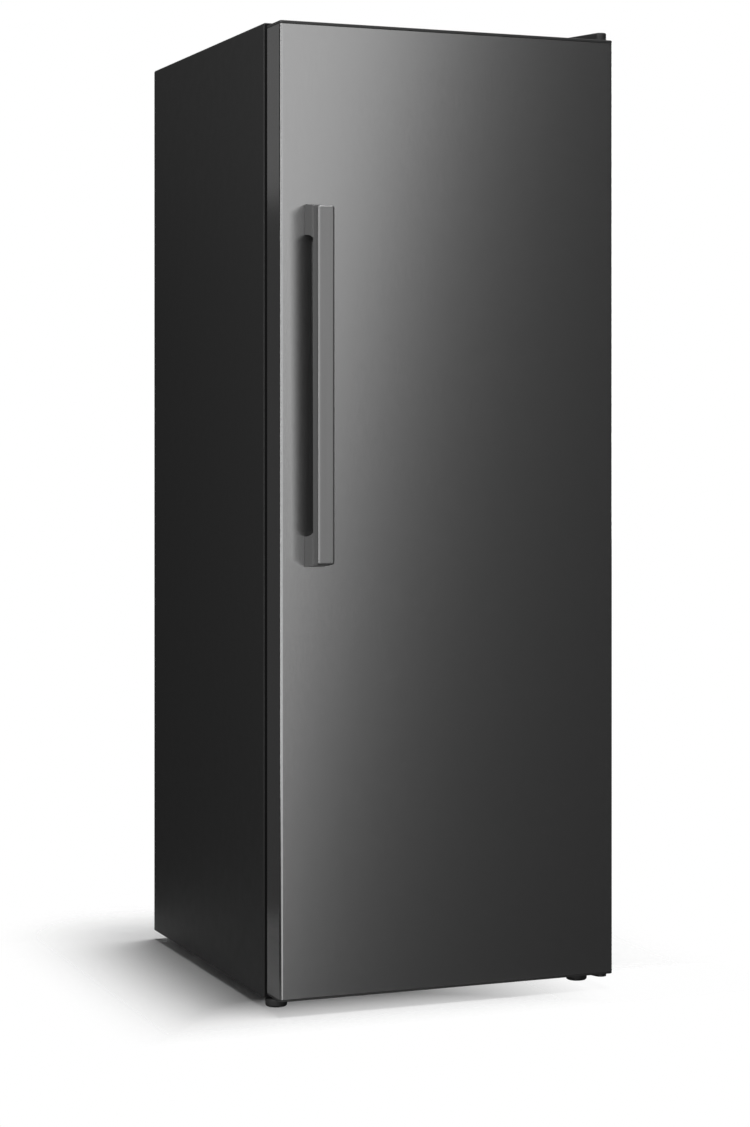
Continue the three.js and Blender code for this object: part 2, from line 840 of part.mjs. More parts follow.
function controlHousing() {
  const x = controlWidth / 2;
  const y1 = controlFront + controlDepth;
  const w = controlWall;
  const hollow = roundedRect(-x + w, controlFront + w, x - w, y1 - w, controlRadius - w);
  const shell = cut(
    prismZ(roundedRect(-x, controlFront, x, y1, controlRadius), controlBottom, controlTop),
    prismZ(hollow, controlBottom + w, controlTop + over),
  );
  return cut(
    shell,
    lampWindow(0, controlBottom - over, controlBottom + over),
    roundBarY(knobRadius / 2 + running, controlFront - over, controlFront + w + over, knobX, knobZ),
  );
}

function lampWindow(inset, z0, z1) {
  const middle = controlFront + controlDepth / 2;
  const x = lensWidth / 2 - inset;
  const y = lensDepth / 2 - inset;
  return prismZ(roundedRect(-x - knobX, middle - y, x - knobX, middle + y, lensRadius - inset), z0, z1);
}

function lampLens() {
  const rim = controlBottom + controlWall + seat;
  return join(
    lampWindow(seat, controlBottom - running, rim + running),
    lampWindow(-running * 2, rim, rim + running * 2),
  );
}

// Knob with a finger bar across its face and a stub that runs in the housing.
function controlKnob() {
  const face = controlFront - knobDepth;
  const disc = roundBarY(knobRadius, face + over, controlFront - seat, knobX, knobZ);
  const bar = block(
    knobX - running * 2, knobX + running * 2, face, face + over * 2,
    knobZ - knobRadius + running, knobZ + knobRadius - running,
  );
  const stub = roundBarY(knobRadius / 2, controlFront - over, controlFront + over * 2, knobX, knobZ);
  return join(disc, bar, stub);
}

// ---------- door ----------

const skinLow = doorBottom + bottomCapThickness + seat;
const skinHigh = doorTop - topCapThickness - seat;

// Steel front folded round both sides, hemmed inward at the back.
function doorSkin() {
  const mouthHalf = half - skinHem;
  return cut(
    prismZ(doorOutline(0), skinLow, skinHigh),
    prismZ(doorOutline(sheet), skinLow - over, skinHigh + over),
    block(-mouthHalf, mouthHalf, doorBack - over, doorBack + over, skinLow - over, skinHigh + over),
  );
}

// End cap: a plate over the end of the skin, a rim that plugs into it and a lip behind the foam
// that meets the liner.
function doorCap(outer, inner, rimEnd) {
  const plate = prismZ(doorOutline(0), Math.min(outer, inner), Math.max(outer, inner));
  const sunk = sheet + seat;
  const rim = cut(
    prismZ(doorOutline(sunk), Math.min(inner, rimEnd), Math.max(inner, rimEnd)),
    prismZ(doorOutline(sunk + capRimWall), Math.min(inner, rimEnd) - over, Math.max(inner, rimEnd) + over),
  );
  const rimGap = block(
    -half + skinHem - over, half - skinHem + over, doorBack - sunk - capRimWall - over, doorBack,
    Math.min(inner, rimEnd) - over, Math.max(inner, rimEnd) + over,
  );
  const lipEnd = outer + Math.sign(rimEnd - outer) * skinHem;
  const lip = block(
    -half + skinHem + seat, half - skinHem - seat, doorBack - doorLinerThickness, doorBack,
    Math.min(outer, lipEnd), Math.max(outer, lipEnd),
  );
  const ends = [outer, rimEnd].sort((p, q) => p - q);
  const hole = roundBar(bushRadius + seat, ends[0] - over, ends[1] + over, hingeX, hingeY);
  return cut(join(plate, cut(rim, rimGap), lip), hole);
}

// Insets and heights of the door liner's section, on its cabinet side.
const ridgeSection = [
  [skinHem + seat, 0],
  [ridgeFoot, 0],
  [ridgeShoulder, shoulderHeight],
  [ridgeOuter, ridgeHeight],
  [ridgeInner, ridgeHeight],
  [ridgeInner + ridgeRunout, shoulderHeight],
  [ridgeInner + ridgeRunout * 2, shoulderHeight],
];

// The same section moved down into the door by a depth, drawn in where it climbs.
function ridgeInside(depth) {
  const slope = depth * 0.7;
  return [
    [skinHem + seat, -depth],
    [ridgeFoot + slope / 2, -depth],
    [ridgeShoulder + slope, shoulderHeight - depth],
    [ridgeOuter + slope, ridgeHeight - depth],
    [ridgeInner - slope, ridgeHeight - depth],
    [ridgeInner + ridgeRunout - slope, shoulderHeight - depth],
    [ridgeInner + ridgeRunout * 2, shoulderHeight - depth],
  ];
}

function doorPlate(inset, low, high) {
  return block(
    -half + inset, half - inset, doorBack + low, doorBack + high, doorBottom + inset, doorTop - inset,
  );
}

function doorLiner() {
  const section = [...ridgeSection, ...ridgeInside(doorLinerThickness).reverse()];
  const centre = ridgeInner + ridgeRunout * 2 - running;
  return join(doorFrame(section), doorPlate(centre, shoulderHeight - doorLinerThickness, shoulderHeight));
}

// Foam core with necks that fill the end caps, holes for the hinge bushes and the ridge's filling.
function doorFoam() {
  const sunk = doorLinerThickness + seat;
  const depth = block(-half, half, doorFront, doorBack - sunk, doorBottom, doorTop);
  const core = prismZ(doorOutline(sheet + seat), skinLow + capRimDepth, skinHigh - capRimDepth);
  const neck = prismZ(doorOutline(sheet + capRimWall + seat * 2), skinLow, skinHigh);
  const bushes = [[skinLow - over, skinLow + capRimDepth], [skinHigh - capRimDepth, skinHigh + over]].map(
    ([z0, z1]) => roundBar(bushRadius + seat, z0, z1 + seat, hingeX, hingeY),
  );
  const inside = ridgeInside(sunk).slice(1);
  const base = -sunk - running;
  const ridge = doorFrame([...inside, [ridgeInner + ridgeRunout * 2, base], [ridgeFoot, base]]);
  const centre = ridgeInner + ridgeRunout * 2 - running;
  const filled = join(cut(join(core, neck).intersect(depth), ...bushes), ridge);
  return join(filled, doorPlate(centre, base, shoulderHeight - sunk));
}

// Magnetic gasket: a foot on the liner, two folds of bellows and a magnet pocket at the cabinet.
function doorGasket() {
  const a = gasketInset;
  const b = gasketInset + gasketWidth;
  const face = gasketGap - seat;
  const head = face - 6;
  return doorFrame([
    [a + 0.5, seat], [b - 0.5, seat], [b - 0.5, 2.6], [b - 7, 3.4], [b - 7, 4.6], [b - 1.5, 6],
    [b - 1.5, 7.4], [b - 5, head - 1], [b, head], [b, face], [a, face], [a, head],
    [a + 5, head - 1], [a + 1.5, 7.4], [a + 1.5, 6], [a + 7, 4.6], [a + 7, 3.4], [a + 0.5, 2.6],
  ]);
}

const handleX0 = -half + handleInset;
const handleX1 = handleX0 + handleWidth;
const handleLow = doorBottom + handleRise;
const handleHigh = handleLow + handleLength;
const gripFront = doorFront - handleReach;
const gripBack = gripFront + gripDepth;

function handleGrip() {
  const section = roundedRect(handleX0, gripFront, handleX1, gripBack, gripRadius);
  const faceOutline = roundedRect(handleX0, handleLow, handleX1, handleHigh, gripEndRadius);
  const side = roundedRect(gripFront, handleLow, gripBack + handleReach, handleHigh, gripRadius);
  return prismZ(section, handleLow, handleHigh, 3)
    .intersect(prismY(faceOutline, gripFront - over, gripBack + over, 3))
    .intersect(prismX(side, handleX0 - over, handleX1 + over, 3));
}

// Post between the door and the grip, flaring towards the grip on its inner end.
function handlePost(end, inward) {
  const y0 = gripBack + seat;
  const y1 = doorFront - seat;
  const profile = polygon([
    [y0, end],
    [y0, end + inward * (postHeight + postFlare)],
    [y1, end + inward * postHeight],
    [y1, end + inward * postRadius],
    [y1 - postRadius, end],
  ]);
  const section = roundedRect(handleX0, y0 - handleReach, handleX1, y1 + handleReach, postRadius);
  const span = [end - inward * over, end + inward * (postHeight + postFlare + over)].sort((p, q) => p - q);
  return prismX(profile, handleX0, handleX1).intersect(prismZ(section, span[0], span[1]));
}

// ---------- hinges ----------

// Arm seen from above: a round nose at the pin, a straight outer side and a slanted inner side.
function armOutline(nose, back, innerX, grow) {
  const r = nose + grow;
  const taper = THREE.MathUtils.degToRad(coverTaperAngle);
  const shape = new THREE.Shape();
  shape.absarc(hingeX, hingeY, r, Math.PI + taper, Math.PI * 2);
  shape.lineTo(hingeX + r, back + grow);
  shape.lineTo(innerX - grow, back + grow);
  const reach = hingeX - r * Math.cos(taper) - (innerX - grow);
  const start = hingeY - r * Math.sin(taper);
  shape.lineTo(innerX - grow, Math.min(start + reach / Math.tan(taper), back));
  shape.closePath();
  return shape;
}

const topArmBack = cabinetFront + topPlateLength;
const topPlateZ = cabinetTop + seat;

function topHingeBracket() {
  const arm = armOutline(noseRadius - topCoverWall - running, topArmBack, half - topPlateWidth, 0);
  const hole = roundBar(pinRadius + seat, topPlateZ - over, topPlateZ + over, hingeX, hingeY);
  return cut(prismZ(arm, topPlateZ, topPlateZ + topPlateThickness, 3), hole);
}

function topHingePin() {
  const low = doorTop - pinDepth;
  const head = topPlateZ + topPlateThickness + seat;
  return join(
    roundBar(pinRadius, low, head + running, hingeX, hingeY),
    roundBar(pinRadius + running * 1.5, head, head + running * 1.5, hingeX, hingeY),
  );
}

function topHingeCover() {
  const grow = topCoverWall + running;
  const innerX = half - topPlateWidth;
  const nose = noseRadius - topCoverWall - running;
  const outside = armOutline(nose, topArmBack, innerX, grow);
  const inside = armOutline(nose, topArmBack, innerX, running);
  const z1 = cabinetTop + topCoverHeight;
  const overDoor = block(0, half + over, doorFront - over, cabinetFront - seat, doorTop, topPlateZ + over);
  const skirt = prismZ(outside, cabinetTop - topCoverDrop, topPlateZ + running, 3).intersect(overDoor);
  const shell = join(prismZ(outside, topPlateZ, z1, 3), skirt);
  return cut(shell, prismZ(inside, cabinetTop - topCoverDrop - over, z1 - topCoverWall, 3));
}

const bottomPlateTop = doorBottom - bushFlange - seat;
const bottomPlateLow = bottomPlateTop - bottomPlateThickness;

// Bent steel: a plate under the door, a leg against the cabinet's front and a riveted pin.
function bottomHingeBracket() {
  const back = cabinetFront - seat;
  const arm = armOutline(noseRadius, back, half - bottomPlateWidth, 0);
  const leg = block(
    half - bottomPlateWidth, hingeX + noseRadius, back - bottomLegThickness, back,
    bottomPlateLow, bottomPlateLow + bottomLegHeight,
  );
  const pin = roundBar(pinRadius, bottomPlateLow - running, doorBottom + pinDepth, hingeX, hingeY);
  return join(prismZ(arm, bottomPlateLow, bottomPlateTop, 3), leg, pin);
}

function hingeBush(outer, inward) {
  const flangeEnd = outer - inward * bushFlange;
  const end = outer + inward * (pinDepth + bushFlange);
  const flange = [flangeEnd, outer - inward * seat].sort((p, q) => p - q);
  const barrel = [flangeEnd, end].sort((p, q) => p - q);
  return cut(
    join(
      roundBar(bushFlangeRadius, flange[0], flange[1], hingeX, hingeY),
      roundBar(bushRadius, barrel[0], barrel[1], hingeX, hingeY),
    ),
    roundBar(bushBore, barrel[0] - over, barrel[1] + over, hingeX, hingeY),
  );
}

// ---------- feet, rollers and the compressor plate ----------

function frontFoot(side) {
  const puck = turned([
    [0, 0], [footRadius - 3, 0], [footRadius, 2.5], [footRadius, footHeight - 3],
    [footRadius - 2, footHeight], [stemRadius, footHeight],
    [stemRadius, footHeight + stemLength], [0, footHeight + stemLength],
  ], 16);
  return puck.translate([side * footX, footY, 0]);
}

function roller(side) {
  const x = side * rollerX;
  const tyre = roundBarX(rollerRadius, x - rollerWidth / 2, x + rollerWidth / 2, rollerY, rollerRadius, 24);
  const bore = roundBarX(axleRadius + seat, x - rollerWidth, x + rollerWidth, rollerY, rollerRadius);
  return cut(tyre, bore);
}

function rollerAxle(side) {
  const x = side * rollerX;
  const reach = rollerWidth / 2 + running + earThickness + running * 2;
  const head = roundBarX(
    axleRadius + running * 1.5, x + reach - running * 2 + seat, x + reach + running, rollerY, rollerRadius,
  );
  return join(roundBarX(axleRadius, x - reach, x + reach, rollerY, rollerRadius), head);
}

// Steel tray floor of the niche: turned-up sides, roller forks and holes for the rubber mounts.
function compressorPlate() {
  const x = half - sheet - seat;
  const y0 = nicheFront + over;
  const y1 = cabinetBack - sheet - seat;
  const lipTop = cabinetBottom + plateLip;
  const sides = [-1, 1].map((side) => {
    const edge = [side * x, side * (x - plateThickness)].sort((p, q) => p - q);
    return block(edge[0], edge[1], y0, y1, cabinetBottom, lipTop);
  });
  const forks = [-1, 1].map((side) => rollerFork(side));
  const slots = [-1, 1].map((side) => {
    const middle = side * rollerX;
    const reach = rollerWidth / 2 + running;
    const length = rollerRadius + running * 2;
    return block(middle - reach, middle + reach, rollerY - length, rollerY + length, 0, lipTop);
  });
  const plate = block(-x, x, y0, y1, cabinetBottom, plateTop);
  return cut(join(plate, ...sides, ...forks), ...slots, ...mountPins(grommetRadius / 2));
}

function rollerFork(side) {
  const inner = rollerWidth / 2 + running;
  const low = rollerRadius - axleRadius - over;
  const ears = [-1, 1].map((end) => {
    const faces = [end * inner, end * (inner + earThickness)].sort((p, q) => p - q);
    const ear = roundedRect(
      rollerY - earHalfDepth, low, rollerY + earHalfDepth, cabinetBottom + earDrop, cornerRadius,
    );
    return prismX(ear, side * rollerX + faces[0], side * rollerX + faces[1]);
  });
  const x = side * rollerX;
  const hole = roundBarX(axleRadius + seat, x - rollerInset, x + rollerInset, rollerY, rollerRadius, 12);
  return cut(join(...ears, forkWeb(side)), hole);
}

// Web that ties the two ears of a fork to the plate.
function forkWeb(side) {
  const reach = rollerWidth / 2 + running + earThickness;
  return block(
    side * rollerX - reach, side * rollerX + reach,
    rollerY - rollerRadius - over, rollerY + rollerRadius + over, cabinetBottom, plateTop,
  );
}

const mountX = compressorFootLength / 2 - grommetRadius;
const mountY = compressorFootWidth / 2 - grommetRadius;
const mountPlaces = [[-1, -1], [1, -1], [1, 1], [-1, 1]].map(
  ([sx, sy]) => [compressorX + sx * mountX, compressorY + sy * mountY],
);

function mountPins(radius) {
  return mountPlaces.map(([x, y]) => roundBar(radius, cabinetBottom - over, plateTop + over, x, y, 12));
}

// Rubber mount with a waist and a spigot in the plate.
function grommet([x, y]) {
  const bottom = plateTop + seat;
  const top = plateTop + grommetHeight;
  const waist = grommetRadius - 3;
  return turned([
    [0, cabinetBottom], [grommetRadius / 2 - seat, cabinetBottom], [grommetRadius / 2 - seat, bottom],
    [grommetRadius, bottom], [grommetRadius, bottom + 3], [waist, bottom + 5],
    [waist, top - 4], [grommetRadius, top - 2], [grommetRadius, top], [0, top],
  ], 10).translate([x, y, 0]);
}

// Pressed shell in two halves with a weld flange between them.
function compressorCan(grow) {
  const steps = 5;
  const middle = compressorHeight * 0.42;
  const points = [];
  for (let i = 0; i <= steps; i++) {
    const angle = -Math.PI / 2 + (i / steps) * (Math.PI / 2);
    points.push(domePoint(angle, middle, middle, grow));
  }
  const rim = compressorRadius + weldFlange;
  const upper = middle + weldThickness;
  if (grow === 0) points.push([rim, middle], [rim, upper]);
  for (let i = 0; i <= steps; i++) {
    const angle = (i / steps) * (Math.PI / 2);
    points.push(domePoint(angle, upper, compressorHeight - upper, grow));
  }
  points[0][0] = 0;
  points[points.length - 1][0] = 0;
  const can = turned(points, 20).scale([1, compressorSquash, 1]);
  return can.translate([compressorX, compressorY, compressorBottom]);
}

// Point of a squared-off dome.
function domePoint(angle, middle, height, grow) {
  const square = 0.55;
  const across = Math.abs(Math.cos(angle)) ** square;
  const up = Math.sign(Math.sin(angle)) * Math.abs(Math.sin(angle)) ** square;
  return [(compressorRadius + grow) * across, middle + (height + grow) * up];
}

function compressor() {
  const z0 = plateTop + grommetHeight + seat;
  const x = compressorFootLength / 2;
  const y = compressorFootWidth / 2;
  const foot = prismZ(
    roundedRect(compressorX - x, compressorY - y, compressorX + x, compressorY + y, grommetRadius),
    z0, z0 + compressorFootThickness, 3,
  );
  const stubs = stubHeights.map(
    (z) => roundBarX(pipeRadius + running, compressorX - stubReach, compressorX, compressorY, z, 12),
  );
  return join(compressorCan(0), foot, ...stubs);
}

const stubReach = compressorRadius + 16;
const stubHeights = [compressorBottom + compressorHeight * 0.32, compressorBottom + compressorHeight * 0.72];

// Cover of the start relay, shaped to the shell, with a boss where the mains lead would enter.
function terminalBox() {
  const x0 = compressorX + compressorRadius * 0.7;
  const x1 = compressorX + compressorRadius + terminalBoxSize * 0.6;
  const y = terminalBoxSize / 2;
  const z = compressorBottom + compressorHeight * 0.62;
  const shape = roundedRect(compressorY - y, z - y, compressorY + y, z + y, 6);
  const boss = roundBarY(pipeRadius + running * 2, compressorY, compressorY + y + over, x1 - over * 2, z, 16);
  return cut(join(prismX(shape, x0, x1), boss), compressorCan(seat));
}

// Meltwater tray on the warm compressor.
function evaporationTray() {
  const z0 = compressorTop + seat;
  const z1 = z0 + trayHeight;
  const outer = skinned([trayRing(trayTaper, z0), trayRing(0, z1)], false);
  const hollow = skinned(
    [trayRing(trayTaper + trayWall, z0 + trayWall), trayRing(trayWall, z1 + running)], false,
  );
  return cut(outer, hollow);
}

function trayRing(inset, z) {
  const x = trayLength / 2 - inset;
  const y = trayWidth / 2 - inset;
  return roundedRing(
    compressorX - x, compressorY - y, compressorX + x, compressorY + y, z, trayRadius - inset / 2,
  );
}

// Pipe from a stub on the compressor to the niche's front wall.
function nichePipe(stub, wallX, rise) {
  const z = stubHeights[stub];
  const start = compressorX - stubReach - seat;
  return tube([
    [start, compressorY, z],
    [start - pipeStraight, compressorY, z],
    [start - pipeStraight * 2, compressorY - pipeBend, z + rise / 2],
    [wallX, nicheFront + pipeStraight * 2, z + rise],
    [wallX, nicheFront + pipeStraight, z + rise],
    [wallX, nicheFront + seat, z + rise],
  ], pipeRadius, 12);
}

// Filter drier with the condenser's return on one end and the capillary on the other.
function filterDrier() {
  const x = -drierOffset;
  const y = nicheFront + drierStandoff;
  const z0 = cabinetBottom + drierRise;
  const z1 = z0 + drierLength;
  const shoulder = drierNeck + drierCone;
  const can = turned([
    [0, z0], [pipeRadius, z0], [pipeRadius, z0 + drierNeck], [drierRadius, z0 + shoulder],
    [drierRadius, z1 - shoulder], [pipeRadius, z1 - drierNeck], [pipeRadius, z1], [0, z1],
  ], 16).translate([x, y, 0]);
  const lower = drierTail(x, y, z0, -1, pipeRadius - running);
  const upper = drierTail(x, y, z1, 1, pipeRadius / 2);
  return join(can, lower, upper);
}

// Thin pipe from one end of the drier, bent back to the niche's front wall.
function drierTail(x, y, end, up, radius) {
  const level = end + up * drierBend;
  return tube([
    [x, y, end - up * over],
    [x, y, end + (up * drierBend) / 2],
    [x + up * over, y - drierBend, level],
    [x + up * over * 2, nicheFront + drierBend, level],
    [x + up * over * 2, nicheFront + seat, level],
  ], radius, 10, 6);
}

// ---------- assembly ----------

place('outer_casing', outerCasing(), 'cabinetPaint');
place('front_rail', frontRail(), 'cabinetPaint');
place('base_plate', basePlate(), 'galvanised');
place('back_panel', backPanel(), 'cabinetPaint');
place('niche_liner', nicheLiner(), 'galvanised');
place('foam_body', foamBody(), 'foam');
place('inner_liner', innerLiner(), 'whitePlastic');
for (let i = 0; i < shelfCount; i++) place(`glass_shelf_${i + 1}`, shelf(i), 'glass');

place('duct_cover', ductCover(), 'whitePlastic');
place('evaporator', evaporator(), 'aluminium');
place('fan_bracket', fanBracket(), 'whitePlastic');
place('fan_motor', fanMotor(), 'galvanised');
place('fan_impeller', fanImpeller(), 'darkPlastic');
placeDrawers();
place('control_housing', controlHousing(), 'whitePlastic');
place('control_knob', controlKnob(), 'whitePlastic');
place('lamp_lens', lampLens(), 'clearPlastic');

place('door_skin', doorSkin(), 'doorSteel');
place('door_top_cap', doorCap(doorTop, skinHigh + seat, skinHigh - capRimDepth + seat), 'darkPlastic');
place('door_bottom_cap', doorCap(doorBottom, skinLow - seat, skinLow + capRimDepth - seat), 'darkPlastic');
place('door_foam', doorFoam(), 'foam');
place('door_liner', doorLiner(), 'whitePlastic');
place('door_gasket', doorGasket(), 'gasketRubber');
place('handle_grip', handleGrip(), 'handleMetal');
place('handle_post_upper', handlePost(handleHigh, -1), 'handleMetal');
place('handle_post_lower', handlePost(handleLow, 1), 'handleMetal');

place('top_hinge_bracket', topHingeBracket(), 'hingeSteel');
place('top_hinge_pin', topHingePin(), 'pinSteel');
place('top_hinge_cover', topHingeCover(), 'darkPlastic');
place('top_hinge_bush', hingeBush(doorTop, -1), 'acetal');
place('bottom_hinge_bracket', bottomHingeBracket(), 'hingeSteel');
place('bottom_hinge_bush', hingeBush(doorBottom, 1), 'acetal');

place('compressor_plate', compressorPlate(), 'galvanised');
place('compressor', compressor(), 'compressorBlack');
mountPlaces.forEach((at, i) => place(`compressor_mount_${i + 1}`, grommet(at), 'mountRubber'));
place('terminal_box', terminalBox(), 'darkPlastic');
place('evaporation_tray', evaporationTray(), 'darkPlastic');
place('suction_pipe', nichePipe(1, -suctionOffset, suctionRise), 'copper');
place('discharge_pipe', nichePipe(0, -dischargeOffset, -dischargeDrop), 'copper');
place('filter_drier', filterDrier(), 'copper');

for (const [name, side] of [['left', -1], ['right', 1]]) {
  place(`front_foot_${name}`, frontFoot(side), 'darkPlastic');
  place(`rear_roller_${name}`, roller(side), 'darkPlastic');
  place(`roller_axle_${name}`, rollerAxle(side), 'pinSteel');
}

export default freezer;
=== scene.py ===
"""Looks of the upright freezer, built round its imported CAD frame.

Shapes are in millimetres until a mesh is made of them. Camera, lamps and floor are placed in metres.
"""

import math

import bmesh
import bpy
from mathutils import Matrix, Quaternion, Vector


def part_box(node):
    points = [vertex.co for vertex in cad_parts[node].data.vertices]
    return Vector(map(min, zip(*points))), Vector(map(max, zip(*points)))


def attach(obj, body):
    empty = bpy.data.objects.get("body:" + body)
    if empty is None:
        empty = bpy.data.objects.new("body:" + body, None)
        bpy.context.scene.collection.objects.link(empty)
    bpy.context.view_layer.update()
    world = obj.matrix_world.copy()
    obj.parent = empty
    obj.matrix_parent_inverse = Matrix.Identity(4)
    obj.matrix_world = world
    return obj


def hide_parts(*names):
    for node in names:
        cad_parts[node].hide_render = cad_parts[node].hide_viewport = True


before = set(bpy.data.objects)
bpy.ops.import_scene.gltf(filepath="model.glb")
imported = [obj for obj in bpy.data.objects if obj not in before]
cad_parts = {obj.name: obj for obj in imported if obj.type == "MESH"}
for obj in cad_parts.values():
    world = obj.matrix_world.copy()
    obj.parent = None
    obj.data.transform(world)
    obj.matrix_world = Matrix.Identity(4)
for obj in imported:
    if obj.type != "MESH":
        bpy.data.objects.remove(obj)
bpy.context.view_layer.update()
scene = bpy.context.scene
MM = 0.001


# ---------- shapes: (points, faces) in millimetres ----------


def corners(node):
    """x0, y0, z0, x1, y1, z1 of a CAD node."""
    low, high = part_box(node)
    return [v / MM for v in (*low, *high)]


def middle(node):
    """Centre of a CAD node's box."""
    x0, y0, z0, x1, y1, z1 = corners(node)
    return (x0 + x1) / 2, (y0 + y1) / 2, (z0 + z1) / 2


def arc(cx, cy, r, start, end, steps):
    """Points of an arc from one angle to another, in degrees."""
    turn = math.radians(end - start) / steps
    first = math.radians(start)
    angles = [first + i * turn for i in range(steps + 1)]
    return [(cx + r * math.cos(a), cy + r * math.sin(a)) for a in angles]


def quarter(steps):
    """Angles of a quarter turn, in radians."""
    return [math.pi / 2 * i / steps for i in range(steps + 1)]


def rounded(x0, y0, x1, y1, r, steps=6):
    """Rounded rectangle. r is one radius or four: at (x0, y0), (x1, y0), (x1, y1) and (x0, y1)."""
    a, b, c, d = r if isinstance(r, tuple) else (r,) * 4
    return (
        arc(x0 + a, y0 + a, a, 180, 270, steps)
        + arc(x1 - b, y0 + b, b, 270, 360, steps)
        + arc(x1 - c, y1 - c, c, 0, 90, steps)
        + arc(x0 + d, y1 - d, d, 90, 180, steps)
    )


def lay_z(outline, z):
    """Ring of the outline's (x, y) points at one height."""
    return [(x, y, z) for x, y in outline]


def lay_y(outline, y):
    """Ring of the outline's (x, z) points at one depth."""
    return [(x, y, z) for x, z in outline]


def lay_x(outline, x):
    """Ring of the outline's (y, z) points at one distance from the middle."""
    return [(x, y, z) for y, z in outline]


def loft(rings, loop=False, caps=True):
    """Skin over rings of equal size, with flat ends or closed on itself."""
    size = len(rings[0])
    points = [p for ring in rings for p in ring]
    faces = []
    for i in range(len(rings) if loop else len(rings) - 1):
        a, b = i * size, (i + 1) % len(rings) * size
        for j in range(size):
            k = (j + 1) % size
            faces.append((a + j, a + k, b + k, b + j))
    if caps and not loop:
        faces.append(tuple(range(size)))
        faces.append(tuple(range(len(points) - size, len(points))))
    return points, faces


def slab(lay, outline, a, b):
    """Straight piece of one outline, from a to b."""
    return loft([lay(outline, a), lay(outline, b)])


def block(x0, y0, z0, x1, y1, z1):
    """Plain box."""
    return slab(lay_z, [(x0, y0), (x1, y0), (x1, y1), (x0, y1)], z0, z1)


def along(axis, at, u, v, h):
    """Point h along the axis from a place, and u and v across it."""
    step = {"z": (u, v, h), "y": (u, h, v), "x": (h, u, v)}[axis]
    return tuple(start + more for start, more in zip(at, step))


def lathe(profile, at, axis="z", steps=48, squash=1.0):
    """Turned piece from (radius, height) points, with its foot at a place."""
    turns = [math.tau * j / steps for j in range(steps)]
    rings = [
        [along(axis, at, r * math.cos(turn), r * math.sin(turn) * squash, h) for turn in turns]
        for r, h in profile
    ]
    return loft(rings, caps=profile[0][0] > 0)


def smooth_path(points, per_span=8):
    """Catmull-Rom curve through the points."""
    p = [Vector(q) for q in points]
    p = [p[0] * 2 - p[1]] + p + [p[-1] * 2 - p[-2]]
    path = []
    for i in range(1, len(p) - 2):
        for k in range(per_span):
            t = k / per_span
            a = 2 * p[i] + (p[i + 1] - p[i - 1]) * t
            b = (2 * p[i - 1] - 5 * p[i] + 4 * p[i + 1] - p[i + 2]) * t * t
            c = (3 * p[i] - p[i - 1] - 3 * p[i + 1] + p[i + 2]) * t * t * t
            path.append((a + b + c) / 2)
    return path + [p[-2]]


def tube(path, radius, sides):
    """Round tube along a path."""
    turns = [math.tau * j / sides for j in range(sides)]
    rings = []
    across = None
    for i, at in enumerate(path):
        ahead = (path[min(i + 1, len(path) - 1)] - path[max(i - 1, 0)]).normalized()
        if across is None:
            across = ahead.orthogonal().normalized()
        across = (across - ahead * across.dot(ahead)).normalized()
        up = ahead.cross(across)
        rings.append([tuple(at + (across * math.cos(a) + up * math.sin(a)) * radius) for a in turns])
    return loft(rings)


def merge(*shapes):
    """One shape of several."""
    points, faces = [], []
    for more_points, more_faces in shapes:
        start = len(points)
        points += more_points
        faces += [tuple(start + i for i in face) for face in more_faces]
    return points, faces


def screw(x, y, z, side, r=4.0, height=1.0):
    """Pan-head screw with a cross recess, along y. It faces the back where side is 1, else the front."""
    sides, arm, least = 32, 0.28, 0.05
    head = [(1, 0), (1, 0.5), (0.92, 1.3), (0.75, 1.9), (0.58, 2.15)]
    recess = [(0.5, 2.15), (0.44, 0.9)]

    def ring(radius, rise, cross):
        made = []
        for j in range(sides):
            turn = math.tau * j / sides
            reach = radius
            if cross:
                near = abs((turn + math.pi / 4) % (math.pi / 2) - math.pi / 4)
                reach = min(radius / math.cos(near), arm * radius / max(math.sin(near), least))
            across, up = reach * math.cos(turn), reach * math.sin(turn)
            made.append(along("y", (x, y, z), across, up, rise * side * height))
        return made

    plain = [ring(r * part, rise, False) for part, rise in head]
    crossed = [ring(r * part, rise, True) for part, rise in recess]
    return loft(plain + crossed)


# ---------- materials ----------

NOISE_DETAIL = 3.0
NOISE_REACH = (0.3, 0.7)


class Nodes:
    """Short ways to build a node tree."""

    def __init__(self, tree):
        self.tree = tree
        self.link = tree.links.new

    def add(self, kind, **values):
        """New node. A value goes to the input of its name, or else to the node's setting."""
        new = self.tree.nodes.new(kind)
        for key, value in values.items():
            socket = key.replace("_", " ")
            if socket in new.inputs:
                new.inputs[socket].default_value = value
            else:
                setattr(new, key, value)
        return new

    def maths(self, operation, a, b):
        """Result of an operation on two outputs."""
        new = self.add("ShaderNodeMath", operation=operation)
        self.link(a, new.inputs[0])
        self.link(b, new.inputs[1])
        return new.outputs["Value"]

    def vector(self, operation, a, constant=None, result="Vector"):
        """Result of a vector operation on an output and, where it takes one, a constant."""
        new = self.add("ShaderNodeVectorMath", operation=operation)
        self.link(a, new.inputs[0])
        if constant:
            new.inputs[1].default_value = constant
        return new.outputs[result]

    def ramp(self, value, start, end, low=0.0, high=1.0, interpolation_type="LINEAR"):
        """Runs from low to high while the value runs from start to end."""
        new = self.add("ShaderNodeMapRange", From_Min=start, From_Max=end, To_Min=low, To_Max=high,
                       interpolation_type=interpolation_type)
        self.link(value, new.inputs["Value"])
        return new.outputs["Result"]

    def blend(self, part, first, second):
        """Mixture of two shaders."""
        new = self.add("ShaderNodeMixShader")
        self.link(part, new.inputs["Fac"])
        self.link(first, new.inputs[1])
        self.link(second, new.inputs[2])
        return new.outputs["Shader"]


